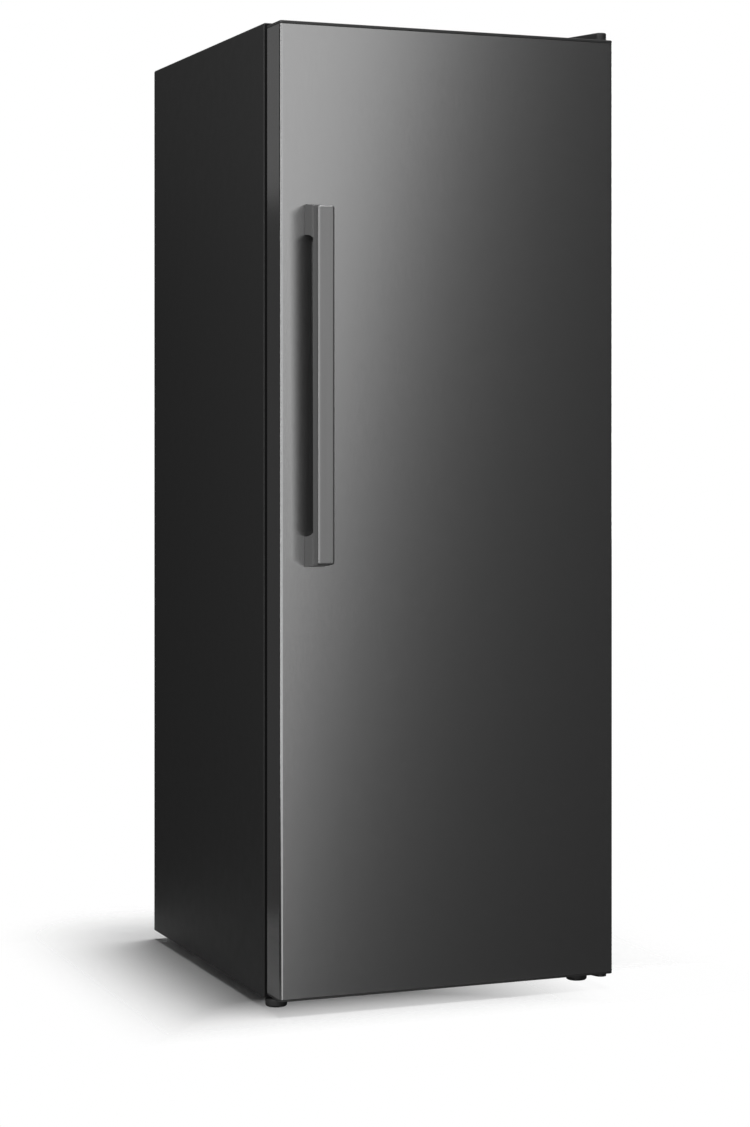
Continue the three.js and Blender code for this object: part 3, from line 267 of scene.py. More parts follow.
def finish(name, colour, rough, metal=0.0, vary=0.05, grain=40, rough_vary=0.06, bump=0.1, bump_grain=900,
           depth=0.0002, spangle=False, brushed=False, **sockets):
    """Principled material whose colour, roughness and surface vary by noise in the piece's own space.

    A grain is how many specks fit in a metre, as one number or as three along x, y and z.
    """
    made = bpy.data.materials.new(name)
    made.use_nodes = True
    nodes = Nodes(made.node_tree)
    shader = made.node_tree.nodes["Principled BSDF"]
    for socket, value in {"Metallic": metal, **sockets}.items():
        shader.inputs[socket.replace("_", " ")].default_value = value
    place = nodes.add("ShaderNodeTexCoord").outputs["Object"]

    def texture(scale, kind, output, **values):
        size = scale if isinstance(scale, tuple) else (scale,) * 3
        stretch = nodes.add("ShaderNodeMapping", Scale=size)
        nodes.link(place, stretch.inputs["Vector"])
        pattern = nodes.add(kind, Scale=1.0, **values)
        nodes.link(stretch.outputs["Vector"], pattern.inputs["Vector"])
        return pattern.outputs[output]

    if spangle:
        level = texture(grain, "ShaderNodeTexVoronoi", "Distance")
    else:
        level = texture(grain, "ShaderNodeTexNoise", "Fac", Detail=NOISE_DETAIL)
    tint = nodes.add("ShaderNodeMix", data_type="RGBA")
    nodes.link(level, tint.inputs[0])
    tint.inputs[6].default_value = (*[c * (1 - vary) for c in colour], 1)
    tint.inputs[7].default_value = (*[min(c * (1 + vary), 1) for c in colour], 1)
    nodes.link(tint.outputs[2], shader.inputs["Base Color"])
    spread = nodes.ramp(level, *NOISE_REACH, rough - rough_vary, rough + rough_vary)
    nodes.link(spread, shader.inputs["Roughness"])
    relief = nodes.add("ShaderNodeBump", Strength=bump, Distance=depth)
    nodes.link(texture(bump_grain, "ShaderNodeTexNoise", "Fac", Detail=NOISE_DETAIL), relief.inputs["Height"])
    nodes.link(relief.outputs["Normal"], shader.inputs["Normal"])
    if brushed:
        tangent = nodes.add("ShaderNodeTangent", direction_type="RADIAL", axis="Z")
        nodes.link(tangent.outputs["Tangent"], shader.inputs["Tangent"])
    return made


def grey(level, warm=0.0):
    """Linear colour of an sRGB grey from 0 to 255."""
    linear = ((level / 255 + 0.055) / 1.055) ** 2.4
    return (linear * (1 + warm), linear, linear * (1 - warm))


LOOK = {
    "door_steel": finish("brushed_steel", grey(131), 0.22, 1.0, vary=0.06, grain=(320, 320, 60),
                         rough_vary=0.006, bump=0.07, bump_grain=(2600, 2600, 30), depth=0.0001,
                         brushed=True, Anisotropic=0.7),
    "handle_metal": finish("satin_handle", grey(115), 0.42, 0.9, vary=0.04, grain=(300, 300, 4),
                           bump=0.12, bump_grain=(2600, 2600, 12), depth=0.0001),
    "cabinet_paint": finish("cabinet_paint", grey(32), 0.55, vary=0.04, rough_vary=0.02, bump=0.25,
                            bump_grain=700, depth=0.0003, Specular_IOR_Level=0.26),
    "dark_plastic": finish("dark_plastic", grey(42), 0.55, vary=0.08, grain=90, bump=0.3, bump_grain=1500,
                           Specular_IOR_Level=0.35),
    "white_plastic": finish("white_plastic", grey(232), 0.4, vary=0.02, grain=14, bump=0.15, bump_grain=500),
    "foam": finish("foam_core", (0.78, 0.68, 0.38), 0.95, vary=0.15, grain=180, bump=0.8, bump_grain=700,
                   depth=0.0008),
    "galvanised": finish("galvanised", grey(172), 0.42, 0.85, vary=0.18, grain=120, rough_vary=0.1,
                         bump_grain=400, spangle=True),
    "clear_plastic": finish("clear_plastic", (0.86, 0.93, 0.96), 0.12, vary=0.02, grain=9, rough_vary=0.03,
                            bump=0.06, bump_grain=160, Transmission_Weight=0.88, IOR=1.49),
    "shelf_glass": finish("shelf_glass", (0.86, 0.96, 0.93), 0.05, vary=0.02, grain=5, rough_vary=0.015,
                          bump=0.03, bump_grain=60, Transmission_Weight=0.95, IOR=1.52),
    "gasket_rubber": finish("gasket_rubber", grey(17), 0.7, vary=0.1, grain=(120, 120, 30), bump=0.3,
                            bump_grain=1100, Specular_IOR_Level=0.15),
    "hinge_steel": finish("hinge_steel", grey(52), 0.45, 0.7, vary=0.15, grain=70, bump=0.2),
    "pin_steel": finish("pin_steel", grey(170), 0.3, 1.0, vary=0.06, grain=(40, 40, 900), bump=0.15,
                        bump_grain=(60, 60, 3500), depth=0.0001),
    "acetal": finish("acetal", grey(218, 0.02), 0.5, vary=0.04, grain=90, bump=0.15,
                     Subsurface_Weight=0.1, Subsurface_Scale=0.002),
    "compressor_black": finish("compressor_enamel", grey(28), 0.33, vary=0.25, grain=22, rough_vary=0.12,
                               bump=0.35, bump_grain=260, depth=0.0005),
    "aluminium": finish("aluminium", grey(205), 0.35, 1.0, vary=0.06, grain=(30, 200, 200), bump=0.15,
                        bump_grain=(300, 1200, 1200)),
    "copper": finish("copper", (0.62, 0.28, 0.16), 0.34, 1.0, vary=0.3, grain=35, rough_vary=0.14,
                     bump=0.12, bump_grain=500),
    "mount_rubber": finish("mount_rubber", grey(32), 0.8, vary=0.15, grain=150, bump=0.4, bump_grain=1300),
}
FRONT_FROST = finish("drawer_front", (0.88, 0.94, 0.97), 0.42, vary=0.02, grain=9, rough_vary=0.02,
                     bump=0.04, bump_grain=1300, Transmission_Weight=0.5, IOR=1.49)
# The flange's paint is darker than the cabinet's: painted shade for the recess behind the door.
FLANGE_PAINTED_SHADE = finish("mouth_flange_painted_shade", grey(18), 0.7, grain=6, bump=0.25, bump_grain=700, depth=0.0003,
                      Specular_IOR_Level=0.1)


# ---------- making pieces ----------

SAME_POINT = 1e-6
SAME_CAD_POINT = 1e-5


def rounding(obj, width, segments, angle):
    """Rounds the edges that are sharper than the angle."""
    bevel = obj.modifiers.new("rounding", "BEVEL")
    bevel.width = width * MM
    bevel.segments = segments
    bevel.limit_method = "ANGLE"
    bevel.angle_limit = math.radians(angle)
    bevel.use_clamp_overlap = True


def flat_faces(obj):
    """Large faces keep their own normal where a rounded edge meets them."""
    weighted = obj.modifiers.new("flat_faces", "WEIGHTED_NORMAL")
    weighted.keep_sharp = True
    weighted.weight = 100


def piece(name, shape, body, slot, replaces=(), look=None, edge=0.0, segments=3, angle=38):
    """Makes a shape into a piece that rides on a body, with its edges rounded by edge."""
    mesh = bpy.data.meshes.new(name)
    mesh.from_pydata([tuple(c * MM for c in p) for p in shape[0]], [], shape[1])
    bm = bmesh.new()
    bm.from_mesh(mesh)
    bmesh.ops.remove_doubles(bm, verts=bm.verts, dist=SAME_POINT)
    bmesh.ops.recalc_face_normals(bm, faces=bm.faces)
    bm.to_mesh(mesh)
    bm.free()
    mesh.shade_smooth()
    mesh.set_sharp_from_angle(angle=math.radians(angle))
    obj = bpy.data.objects.new(name, mesh)
    scene.collection.objects.link(obj)
    mesh.materials.append(look or LOOK[slot])
    if edge:
        rounding(obj, edge, segments, angle)
    flat_faces(obj)
    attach(obj, body)
    if replaces:
        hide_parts(*replaces)
    return obj


def smooth_group(angle=33):
    """Modifier group that joins the split points of an imported mesh and shades its shallow edges smooth."""
    group = bpy.data.node_groups.new("smooth_shallow_edges", "GeometryNodeTree")
    for way in ("INPUT", "OUTPUT"):
        group.interface.new_socket("Geometry", in_out=way, socket_type="NodeSocketGeometry")
    nodes = Nodes(group)
    start = nodes.add("NodeGroupInput")
    weld = nodes.add("GeometryNodeMergeByDistance", Distance=SAME_CAD_POINT)
    faces = nodes.add("GeometryNodeSetShadeSmooth", domain="FACE")
    edges = nodes.add("GeometryNodeSetShadeSmooth", domain="EDGE")
    end = nodes.add("NodeGroupOutput")
    slope = nodes.add("GeometryNodeInputMeshEdgeAngle")
    shallow = nodes.add("FunctionNodeCompare", operation="LESS_THAN", B=math.radians(angle))
    chain = [start, weld, faces, edges, end]
    for first, second in zip(chain, chain[1:]):
        nodes.link(first.outputs[0], second.inputs[0])
    nodes.link(slope.outputs["Unsigned Angle"], shallow.inputs["A"])
    nodes.link(shallow.outputs["Result"], edges.inputs["Shade Smooth"])
    return group


SMOOTH = smooth_group()


def dress(node, slot, edge=0.0, look=None):
    """Material, smooth shading and rounded edges for a CAD node that stays."""
    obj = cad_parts[node]
    obj.data.materials.clear()
    obj.data.materials.append(look or LOOK[slot])
    obj.modifiers.new("shading", "NODES").node_group = SMOOTH
    if edge:
        rounding(obj, edge, 2, 40)
    flat_faces(obj)


# ---------- places taken from the CAD ----------

CASE_X0, CASE_FRONT, CASE_LOW, CASE_X1, CASE_BACK, CASE_TOP = corners("outer_casing")
DOOR_X0, DOOR_FRONT, SKIN_LOW, DOOR_X1, DOOR_BACK, SKIN_HIGH = corners("door_skin")
DOOR_TOP = corners("door_top_cap")[5]
DOOR_LOW = corners("door_bottom_cap")[2]
HINGE_X, HINGE_Y = middle("top_hinge_bush")[:2]
SHELVES = range(1, 7)
DRAWERS = range(1, 8)
MOUNTS = range(1, 5)


# ---------- camera ----------

CAMERA_X, CAMERA_Y = -1.6855, -4.194
EYE_ABOVE_CABINET_FOOT = 927.7
CAMERA_TURN = -21.8

camera = bpy.data.objects.new("camera", bpy.data.cameras.new("camera"))
scene.collection.objects.link(camera)
scene.camera = camera
camera.data.lens = 82.25
camera.data.sensor_width = 36.0
camera.data.shift_y = -0.1206
camera.data.clip_start = 0.05
camera.location = (CAMERA_X, CAMERA_Y, (CASE_LOW + EYE_ABOVE_CABINET_FOOT) * MM)
camera.rotation_euler = (math.radians(90), 0, math.radians(CAMERA_TURN))
scene.view_settings.view_transform = "Standard"


# ---------- cabinet ----------

CASING_CORNER = 4.0
LEAST_CORNER = 0.6
FLANGE_DEPTH = 1.5


def casing_arch(inset, y, lowered):
    """Ring over the cabinet from foot to foot, inset all round, with its top lowered."""
    r = max(CASING_CORNER - inset, LEAST_CORNER)
    x0, x1, top = CASE_X0 + inset, CASE_X1 - inset, CASE_TOP - inset - lowered
    over = arc(x1 - r, top - r, r, 0, 90, 8) + arc(x0 + r, top - r, r, 90, 180, 8)
    return lay_y([(x1, CASE_LOW)] + over + [(x0, CASE_LOW)], y)


def casing():
    """Sheet folded round the sides and top, with a rolled edge and a hem at the front and the back."""
    fold, sheet, front_hem, back_hem, header = 2.6, 1.0, 40.0, 15.0, 7

    def rolled(r, steps):
        return [(fold - r * math.cos(a), CASE_FRONT + fold - r * math.sin(a), 0) for a in quarter(steps)]

    def mirrored(run):
        return [(inset, CASE_BACK - (y - CASE_FRONT), lowered) for inset, y, lowered in run]

    outer, inner = rolled(fold, 6), rolled(fold - sheet, 4)
    front = [(front_hem, CASE_FRONT, header), (front_hem, CASE_FRONT + sheet, header)]
    back = [(back_hem, CASE_BACK - sheet, 0), (back_hem, CASE_BACK, 0)]
    section = outer + front + inner[::-1] + mirrored(inner) + back + mirrored(outer)[::-1]
    return loft([list(ring) for ring in zip(*[casing_arch(*place) for place in section])])


def paint_flange_shade(wrap):
    """The flange behind the door gets a darker paint: painted shade for the door's shadow over it."""
    wrap.data.materials.append(FLANGE_PAINTED_SHADE)
    for face in wrap.data.polygons:
        if face.center.y < (CASE_FRONT + FLANGE_DEPTH) * MM and face.normal.y < -0.99:
            face.material_index = 1


# The front faces of the flange get the darker paint, which is painted shade.
paint_flange_shade(piece("casing_wrap", casing(), "cabinet", "cabinet_paint", ["outer_casing"], angle=50))
dress("front_rail", "cabinet_paint", 0.3)
dress("base_plate", "galvanised", 0.2)
dress("back_panel", "cabinet_paint", 0.15)
dress("niche_liner", "galvanised")
dress("foam_body", "foam")
dress("inner_liner", "white_plastic", 0.5)
dress("duct_cover", "white_plastic", 0.6)
dress("evaporator", "aluminium")
dress("fan_bracket", "white_plastic", 0.3)
dress("fan_motor", "galvanised", 0.4)
dress("fan_impeller", "dark_plastic", 0.3)
dress("control_housing", "white_plastic", 0.5)
dress("lamp_lens", "clear_plastic", 0.4, FRONT_FROST)
for i in SHELVES:
    dress(f"glass_shelf_{i}", "shelf_glass", 0.8)


# ---------- drawers and shelf trims ----------

PANEL_FRONT, PANEL_BACK = 12, 16
LOW_TAPER, TAPER = 20, 6


def drawer_tub(node, taper):
    """Thin tub with rounded corners and a rim, open at the top, narrower by the taper at its foot."""
    x0, y0, z0, x1, y1, z1 = corners(node)
    front = y0 + PANEL_BACK + 0.2
    foot = [(taper + 2, z0, 16), (taper + 0.5, z0 + 0.6, 17.5), (taper, z0 + 2.2, 18)]
    rim = [(3, z1 - 2.4, 18), (0.4, z1 - 2.4, 20.6), (0, z1 - 2, 21), (0, z1 - 0.5, 21), (0.5, z1, 20.5),
           (4.9, z1, 16), (5.4, z1 - 0.5, 15.6)]
    inside = [(taper + 2.4, z0 + 4.6, 15.6), (taper + 3, z0 + 3, 15), (taper + 5, z0 + 2.4, 13)]
    return loft([
        lay_z(rounded(x0 + inset, front, x1 - inset, y1 - inset, (1.5, 1.5, r, r), 6), z)
        for inset, z, r in foot + rim + inside
    ])


def drawer_front(node):
    """Front panel with rounded lower corners, a grip lip curled over at the top and a raised frame."""
    x0, y0, z0, x1, y1, z1 = corners(node)
    panel, behind = y0 + PANEL_FRONT, y0 + PANEL_BACK
    corner, lip_corner, lip_height = 18, 7, 16
    grip = arc(y0 + 4, z1 - 4, 4, 90, 180, 5)
    under = arc(y0 + 6, z1 - 6.5, 3.6, 180, 90, 5)

    def section(turn):
        a = math.radians(turn)
        low = z0 + corner - corner * math.sin(a)
        lip = z1 - lip_height + lip_corner - lip_corner * math.sin(a)
        back = [(panel, low), (behind, low), (behind, z1)]
        edge = [(y0, lip + 0.8), (y0 + 0.8, lip), (y0 + 1.6, lip), (y0 + 2.4, lip + 0.8)]
        return back + grip + edge + under + [(panel, z1 - 2.9)]

    def end(x, sign):
        turns = range(0, 91, 15)
        return [lay_x(section(t), x + sign * (corner - corner * math.cos(math.radians(t)))) for t in turns]

    sheet = loft(end(x0, 1) + end(x1, -1)[::-1])
    raised = [(0, 0.2), (1, -0.9), (3, -0.9), (4, 0.2)]
    rings = [
        lay_y(rounded(x0 + 22 + i, z0 + 16 + i, x1 - 22 - i, z1 - 30 - i, 10 - i, 6), panel + rise)
        for i, rise in raised
    ]
    return merge(sheet, loft(rings, loop=True))


def shelf_trim(node):
    """Plastic strip clipped over the front edge of a glass shelf."""
    x0, y0, z0, x1, y1, z1 = corners(node)
    low, high = z0 - 2, z1 + 0.15
    nose = arc(y0, (low + high) / 2, (high - low) / 2, 90, 270, 8)
    outline = [(y0 + 9, low), (y0 + 9, low + 1.6), (y0 + 8.6, high), (y0, high)] + nose
    return slab(lay_x, outline, x0 + 1, x1 - 1)


for i in DRAWERS:
    node = f"drawer_{i}"
    piece(f"drawer_tub_{i}", drawer_tub(node, LOW_TAPER if i == 1 else TAPER), node, "clear_plastic", [node],
          angle=60)
    piece(f"drawer_face_{i}", drawer_front(node), node, "clear_plastic", look=FRONT_FROST, angle=45)
for i in SHELVES:
    piece(f"shelf_trim_{i}", shelf_trim(f"glass_shelf_{i}"), "cabinet", "white_plastic", edge=0.3, angle=40)


# ---------- temperature knob ----------

KNOB_X, KNOB_Z = middle("control_knob")[::2]
KNOB_FACE, KNOB_BACK = corners("control_knob")[1], corners("control_knob")[4]
TICKS = 11
FIRST_TICK, KNOB_TURN = 90, 270


def control_knob():
    """Round knob with a finger bar."""
    profile = [(0.5, 5), (12.6, 5), (14.2, 5.4), (15, 6.6), (15, 13.7), (7.5, 13.7)]
    disc = lathe(profile + [(7.5, KNOB_BACK - KNOB_FACE)], (KNOB_X, KNOB_FACE, KNOB_Z), "y")
    bar = rounded(KNOB_X - 2, KNOB_Z - 14, KNOB_X + 2, KNOB_Z + 14, 1.9, 6)
    return merge(disc, slab(lay_y, bar, KNOB_FACE, KNOB_FACE + 8))


def ticks():
    """Plain marks over the arc that the knob turns through, longer at its two ends."""
    front = corners("control_housing")[1]
    near, far, end, half_width = 16, 17.8, 18.6, 0.35
    marks = []
    for i in range(TICKS):
        turn = math.radians(FIRST_TICK + i * KNOB_TURN / (TICKS - 1))
        out_x, out_z = math.cos(turn), math.sin(turn)
        reach = end if i in (0, TICKS - 1) else far
        outline = [
            (KNOB_X + out_x * d - out_z * half_width * s, KNOB_Z + out_z * d + out_x * half_width * s)
            for d, s in ((near, 1), (near, -1), (reach, -1), (reach, 1))
        ]
        marks.append(slab(lay_y, outline, front - 0.15, front + 0.2))
    return merge(*marks)


piece("temperature_knob", control_knob(), "knob", "white_plastic", ["control_knob"], edge=0.5, angle=50)
pointer = block(KNOB_X - 0.5, KNOB_FACE - 0.1, KNOB_Z + 5, KNOB_X + 0.5, KNOB_FACE + 0.4, KNOB_Z + 13)
piece("knob_pointer", pointer, "knob", "dark_plastic")
piece("knob_ticks", ticks(), "cabinet", "dark_plastic")


# ---------- door ----------

HEM_CLEAR = 15.3


def door_outline(inset):
    """The door seen from above, drawn in by the inset."""
    front, rear = max(5 - inset, 0.5), max(1.5 - inset, 0.3)
    x0, x1 = DOOR_X0 + inset, DOOR_X1 - inset
    return rounded(x0, DOOR_FRONT + inset, x1, DOOR_BACK - inset, (front, front, rear, rear), 8)


def door_skin():
    """Sheet folded round the front and the sides, with a hem behind and softened cut edges."""
    hem, sheet = 15, 1
    cut = [(0.5, 0.05), (0.15, 0.35), (0, 0.9)]
    inner = door_outline(sheet)
    quarter_size = len(inner) // 4

    def open_run(points, inset):
        run = points[3 * quarter_size:] + points[:3 * quarter_size]
        return [(DOOR_X0 + hem, DOOR_BACK - inset)] + run + [(DOOR_X1 - hem, DOOR_BACK - inset)]

    levels = [(inset, SKIN_LOW + rise) for inset, rise in cut]
    levels += [(inset, SKIN_HIGH - rise) for inset, rise in cut[::-1]]
    return loft([
        lay_z(open_run(door_outline(inset), inset) + open_run(inner, sheet)[::-1], z) for inset, z in levels
    ])


def door_cap(inner, outer):
    """End cap with a softened outer rim and a lip behind the foam."""
    side = 1 if outer > inner else -1
    rim = [(0, 1.6), (0.25, 0.8), (0.8, 0.25), (1.6, 0)]
    levels = [(0, inner)] + [(inset, outer - side * below) for inset, below in rim]
    plate = loft([lay_z(door_outline(inset), z) for inset, z in levels])
    low, high = sorted((outer - side * 1.8, outer - side * 15))
    return merge(plate, block(DOOR_X0 + HEM_CLEAR, DOOR_BACK - 2, low, DOOR_X1 - HEM_CLEAR, DOOR_BACK, high))


def door_core():
    """Foam between the skin and the liner, clear of the two hinge bushes."""
    gap, end_gap, bush_gap, liner_gap = 1.3, 0.6, 1, 2.4
    x0, x1, low, high = DOOR_X0 + gap, DOOR_X1 - gap, SKIN_LOW + end_gap, SKIN_HIGH - end_gap
    clear = corners("top_hinge_bush")[0] - bush_gap
    above, below = corners("bottom_hinge_bush")[5] + bush_gap, corners("top_hinge_bush")[2] - bush_gap
    hinge_side = [(clear, low), (clear, above), (x1, above), (x1, below), (clear, below), (clear, high)]
    return slab(lay_y, [(x0, low)] + hinge_side + [(x0, high)], DOOR_FRONT + gap, DOOR_BACK - liner_gap)


def door_liner():
    """Sheet with a flat rim, a ridge that reaches into the cabinet and a sunk middle."""
    rim = [(HEM_CLEAR, -2, 2), (HEM_CLEAR, -0.3, 2), (15.6, 0, 2), (40, 0, 6), (43, 0.6, 8)]
    slope = [(61, 8.8, 14), (65, 12, 16), (66.4, 15, 16), (72.6, 30.6, 18), (74, 33.4, 18)]
    ridge = [(76.5, 35, 18), (95.5, 35, 14), (98, 33.4, 14), (99, 31, 14)]
    sunk = [(104.6, 12.8, 10), (106, 10.6, 10), (108, 10, 10), (114, 10, 8)]
    rings = []
    for inset, rise, r in rim + slope + ridge + sunk:
        outline = rounded(DOOR_X0 + inset, DOOR_LOW + inset, DOOR_X1 - inset, DOOR_TOP - inset, r, 6)
        rings.append(lay_y(outline, DOOR_BACK + rise))
    return loft(rings)


def door_gasket():
    """Mitred bellows round the door. Its section is the same on both sides of its middle."""
    outer, inner = 20.0, 38.0
    half = [(0.5, 0.3), (0.5, 2.4), (6, 3.2), (7, 4), (6, 4.8), (2, 6), (1.4, 6.8), (2, 7.5), (5, 9.2),
            (1, 10.3), (0, 11.2), (0, 15.9), (0.8, 16.7)]
    section = [(inner - fold, rise) for fold, rise in half]
    section += [(outer + fold, rise) for fold, rise in half[::-1]]
    square = [(DOOR_X0, DOOR_LOW, 1, 1), (DOOR_X1, DOOR_LOW, -1, 1),
              (DOOR_X1, DOOR_TOP, -1, -1), (DOOR_X0, DOOR_TOP, 1, -1)]
    return loft([
        [(x + to_x * i, DOOR_BACK + rise, z + to_z * i) for i, rise in section] for x, z, to_x, to_z in square
    ], loop=True)


piece("door_panel", door_skin(), "door", "door_steel", ["door_skin"])
piece("door_cap_upper", door_cap(SKIN_HIGH + 0.3, DOOR_TOP), "door", "dark_plastic", ["door_top_cap"])
piece("door_cap_lower", door_cap(SKIN_LOW - 0.3, DOOR_LOW), "door", "dark_plastic", ["door_bottom_cap"])
piece("door_core", door_core(), "door", "foam", ["door_foam"], edge=3)
piece("door_inner_panel", door_liner(), "door", "white_plastic", ["door_liner"], angle=60)
piece("door_seal", door_gasket(), "door", "gasket_rubber", ["door_gasket"], angle=30)
dress("top_hinge_bush", "acetal", 0.2)
dress("bottom_hinge_bush", "acetal", 0.2)


# ---------- handle ----------

GRIP_X0, GRIP_FRONT, GRIP_LOW, GRIP_X1, GRIP_BACK, GRIP_HIGH = corners("handle_grip")
HANDLE_FOOT = corners("handle_post_upper")[4]
HANDLE_SLANT = 6.0
HANDLE_EDGE = 4.0


def drawn_in(y):
    """How much shorter one end of the handle is at depth y than at the door's face."""
    return HANDLE_SLANT * (HANDLE_FOOT - y) / (HANDLE_FOOT - GRIP_FRONT)


def handle_grip():
    """Bar with rounded front edges and slanted ends."""
    r, back_r = HANDLE_EDGE, 1.2
    low = [(r - r * math.sin(a), GRIP_LOW + r - r * math.cos(a)) for a in quarter(6)]
    high = [(inset, GRIP_LOW + GRIP_HIGH - z) for inset, z in low[::-1]]
    rings = []
    for levels, inward in ((low, 1), (high, -1)):
        for inset, z in levels:
            x0, x1, back = GRIP_X0 + inset, GRIP_X1 - inset, GRIP_BACK - inset * 0.3
            outline = rounded(x0, GRIP_FRONT + inset, x1, back, (r, r, back_r, back_r), 6)
            rings.append([(x, y, z + inward * drawn_in(y)) for x, y in outline])
    return loft(rings)


def handle_post(node, inward):
    """Post between the door and one end of the bar, which flares where it meets the bar."""
    x0, y0, z0, x1, y1, z1 = corners(node)
    end = z0 if inward > 0 else z1
    r, height = 3, 49
    flare = [(y0, 56), (y0 + 0.6, 56), (y0 + 10, 52.4), (y0 + 24, 49.8), (y1, height)]
    corner = [(y1 - r + r * math.cos(a), r - r * math.sin(a)) for a in quarter(5)]
    outline = [(y, end + inward * rise) for y, rise in [(y0, drawn_in(y0))] + flare + corner]
    return slab(lay_x, outline, x0, x1)


piece("handle_bar", handle_grip(), "door", "handle_metal", ["handle_grip"], angle=50)
for end, inward in (("upper", -1), ("lower", 1)):
    node = f"handle_post_{end}"
    post = handle_post(node, inward)
    piece(f"handle_stand_{end}", post, "door", "handle_metal", [node], edge=1.4, segments=4)


# ---------- hinges ----------

ARM_TAPER = 18.0


def arm_outline(r, back, inner_x):
    """Hinge arm seen from above: a round nose at the pin and a slanted inner side."""
    nose = arc(HINGE_X, HINGE_Y, r, 180 + ARM_TAPER, 360, 14)
    start_x, start_y = nose[0]
    slope = math.tan(math.radians(ARM_TAPER))
    meet = start_y + (start_x - inner_x) / slope
    if meet < back:
        return nose + [(HINGE_X + r, back), (inner_x, back), (inner_x, meet)]
    return nose + [(HINGE_X + r, back), (start_x - (back - start_y) * slope, back)]


def hinge_cover():
    """Lid over the hinge bracket on the cabinet's top, with a skirt in front of the cabinet."""
    x0, y0, z0, x1, y1, z1 = corners("top_hinge_cover")
    r, seat, far_left = x1 - HINGE_X, CASE_TOP + 0.3, -1000
    rims = [(0, seat), (0, z1 - 2), (0.3, z1 - 1), (1, z1 - 0.3), (2.2, z1)]
    lid = loft([lay_z(arm_outline(r - i, y1 - i, x0 + i), z) for i, z in rims])
    skirt = slab(lay_z, arm_outline(r, CASE_FRONT - 0.3, far_left), z0, seat + 0.5)
    return merge(lid, skirt)


piece("hinge_cap", hinge_cover(), "cabinet", "dark_plastic", ["top_hinge_cover"])
dress("top_hinge_bracket", "hinge_steel", 0.4)
dress("top_hinge_pin", "pin_steel", 0.3)
dress("bottom_hinge_bracket", "hinge_steel", 0.5)


# ---------- feet and rollers ----------


def levelling_foot(node):
    """Round rubber pad with a threaded stem."""
    top = corners(node)[5]
    thread_low, half_pitch = 13.6, 0.75
    pad = [(0, 0), (13.5, 0), (15.6, 0.5), (17.1, 1.6), (17.8, 3.2), (18, 5), (18, 11), (17.6, 12.6),
           (16.4, 13.7), (14.6, 14), (9, 14), (8, 13.2), (5, 13.2)]
    turns = range(int((top - thread_low) / half_pitch) + 1)
    thread = [(5 if k % 2 else 4.4, thread_low + k * half_pitch) for k in turns]
    return lathe(pad + thread + [(0, top)], (*middle(node)[:2], 0))


def roller(node):
    """Wheel with a rounded tread, a sunk side and a bore."""
    x0, y0, z0, x1, y1, z1 = corners(node)
    r, width, steps = (z1 - z0) / 2, x1 - x0, 48
    side = [(3.3, 0), (8, 0), (8.6, 1), (r - 3, 1), (r - 1.4, 0.4), (r - 0.2, 2), (r, 3)]
    profile = side + [(radius, width - rise) for radius, rise in side[::-1]]
    points, faces = lathe(profile, (x0, *middle(node)[1:]), "x", steps)
    last = len(points) - steps
    bore = [(last + j, last + (j + 1) % steps, (j + 1) % steps, j) for j in range(steps)]
    return points, [face for face in faces if len(face) == 4] + bore


for side in ("left", "right"):
    node, wheel = f"front_foot_{side}", f"rear_roller_{side}"
    piece(f"levelling_foot_{side}", levelling_foot(node), f"foot_{side}", "dark_plastic", [node])
    piece(f"roller_wheel_{side}", roller(wheel), f"roller_{side}", "dark_plastic", [wheel])
    dress(f"roller_axle_{side}", "pin_steel", 0.2)


# ---------- compressor niche ----------

UNIT_X0, UNIT_Y0, UNIT_LOW, UNIT_X1, UNIT_Y1, UNIT_HIGH = corners("compressor")
FOOT_HALF = 98
UNIT_X, UNIT_Y = UNIT_X1 - FOOT_HALF, (UNIT_Y0 + UNIT_Y1) / 2
NICHE_WALL = corners("suction_pipe")[1]
SUCTION_LEVEL, DISCHARGE_LEVEL = 0.72, 0.32


def compressor():
    """Two pressed halves with a weld flange, a foot plate and two pipe stubs."""
    r, seam, high, roundness = 72, 58, UNIT_HIGH - UNIT_LOW, 0.55

    def dome(turn, centre, height):
        a = math.radians(turn)
        return r * math.cos(a) ** roundness, centre + height * math.copysign(abs(math.sin(a)) ** roundness, a)

    lower = [dome(turn, seam, seam) for turn in range(-84, 1, 6)]
    flange = [(r + 3.4, seam), (r + 4, seam + 0.6), (r + 4, seam + 2.4), (r + 3.4, seam + 3)]
    upper = [dome(turn, seam + 3, high - seam - 3) for turn in range(0, 85, 6)]
    shell = lathe(lower + flange + upper, (UNIT_X, UNIT_Y, UNIT_LOW), steps=72, squash=0.92)
    plate = rounded(UNIT_X - FOOT_HALF, UNIT_Y - 59, UNIT_X + FOOT_HALF, UNIT_Y + 59, 11, 6)
    stub = [(4.2, 0), (5, 0.8), (5, 14), (6.2, 15), (6.2, 30)]
    levels = [UNIT_LOW + high * level for level in (DISCHARGE_LEVEL, SUCTION_LEVEL)]
    stubs = [lathe(stub, (UNIT_X0, UNIT_Y, z), "x", 24) for z in levels]
    return merge(shell, slab(lay_z, plate, UNIT_LOW + 6.3, UNIT_LOW + 9.3), *stubs)


def melt_tray():
    """Open tray with sloping sides and a rolled rim."""
    x0, y0, z0, x1, y1, z1 = corners("evaporation_tray")
    foot = [(10, z0, 12), (8.4, z0 + 0.6, 13.6), (7.6, z0 + 2, 14)]
    rim = [(1.6, z1 - 3, 17), (0, z1 - 2.6, 18), (0, z1 - 0.5, 18), (0.5, z1, 17.5), (2.2, z1, 16),
           (2.8, z1 - 1, 15.6)]
    inside = [(9.4, z0 + 4, 12.4), (10.4, z0 + 2.6, 11.4), (12, z0 + 2, 10)]
    return loft([
        lay_z(rounded(x0 + inset, y0 + inset, x1 - inset, y1 - inset, r, 8), z)
        for inset, z, r in foot + rim + inside
    ])


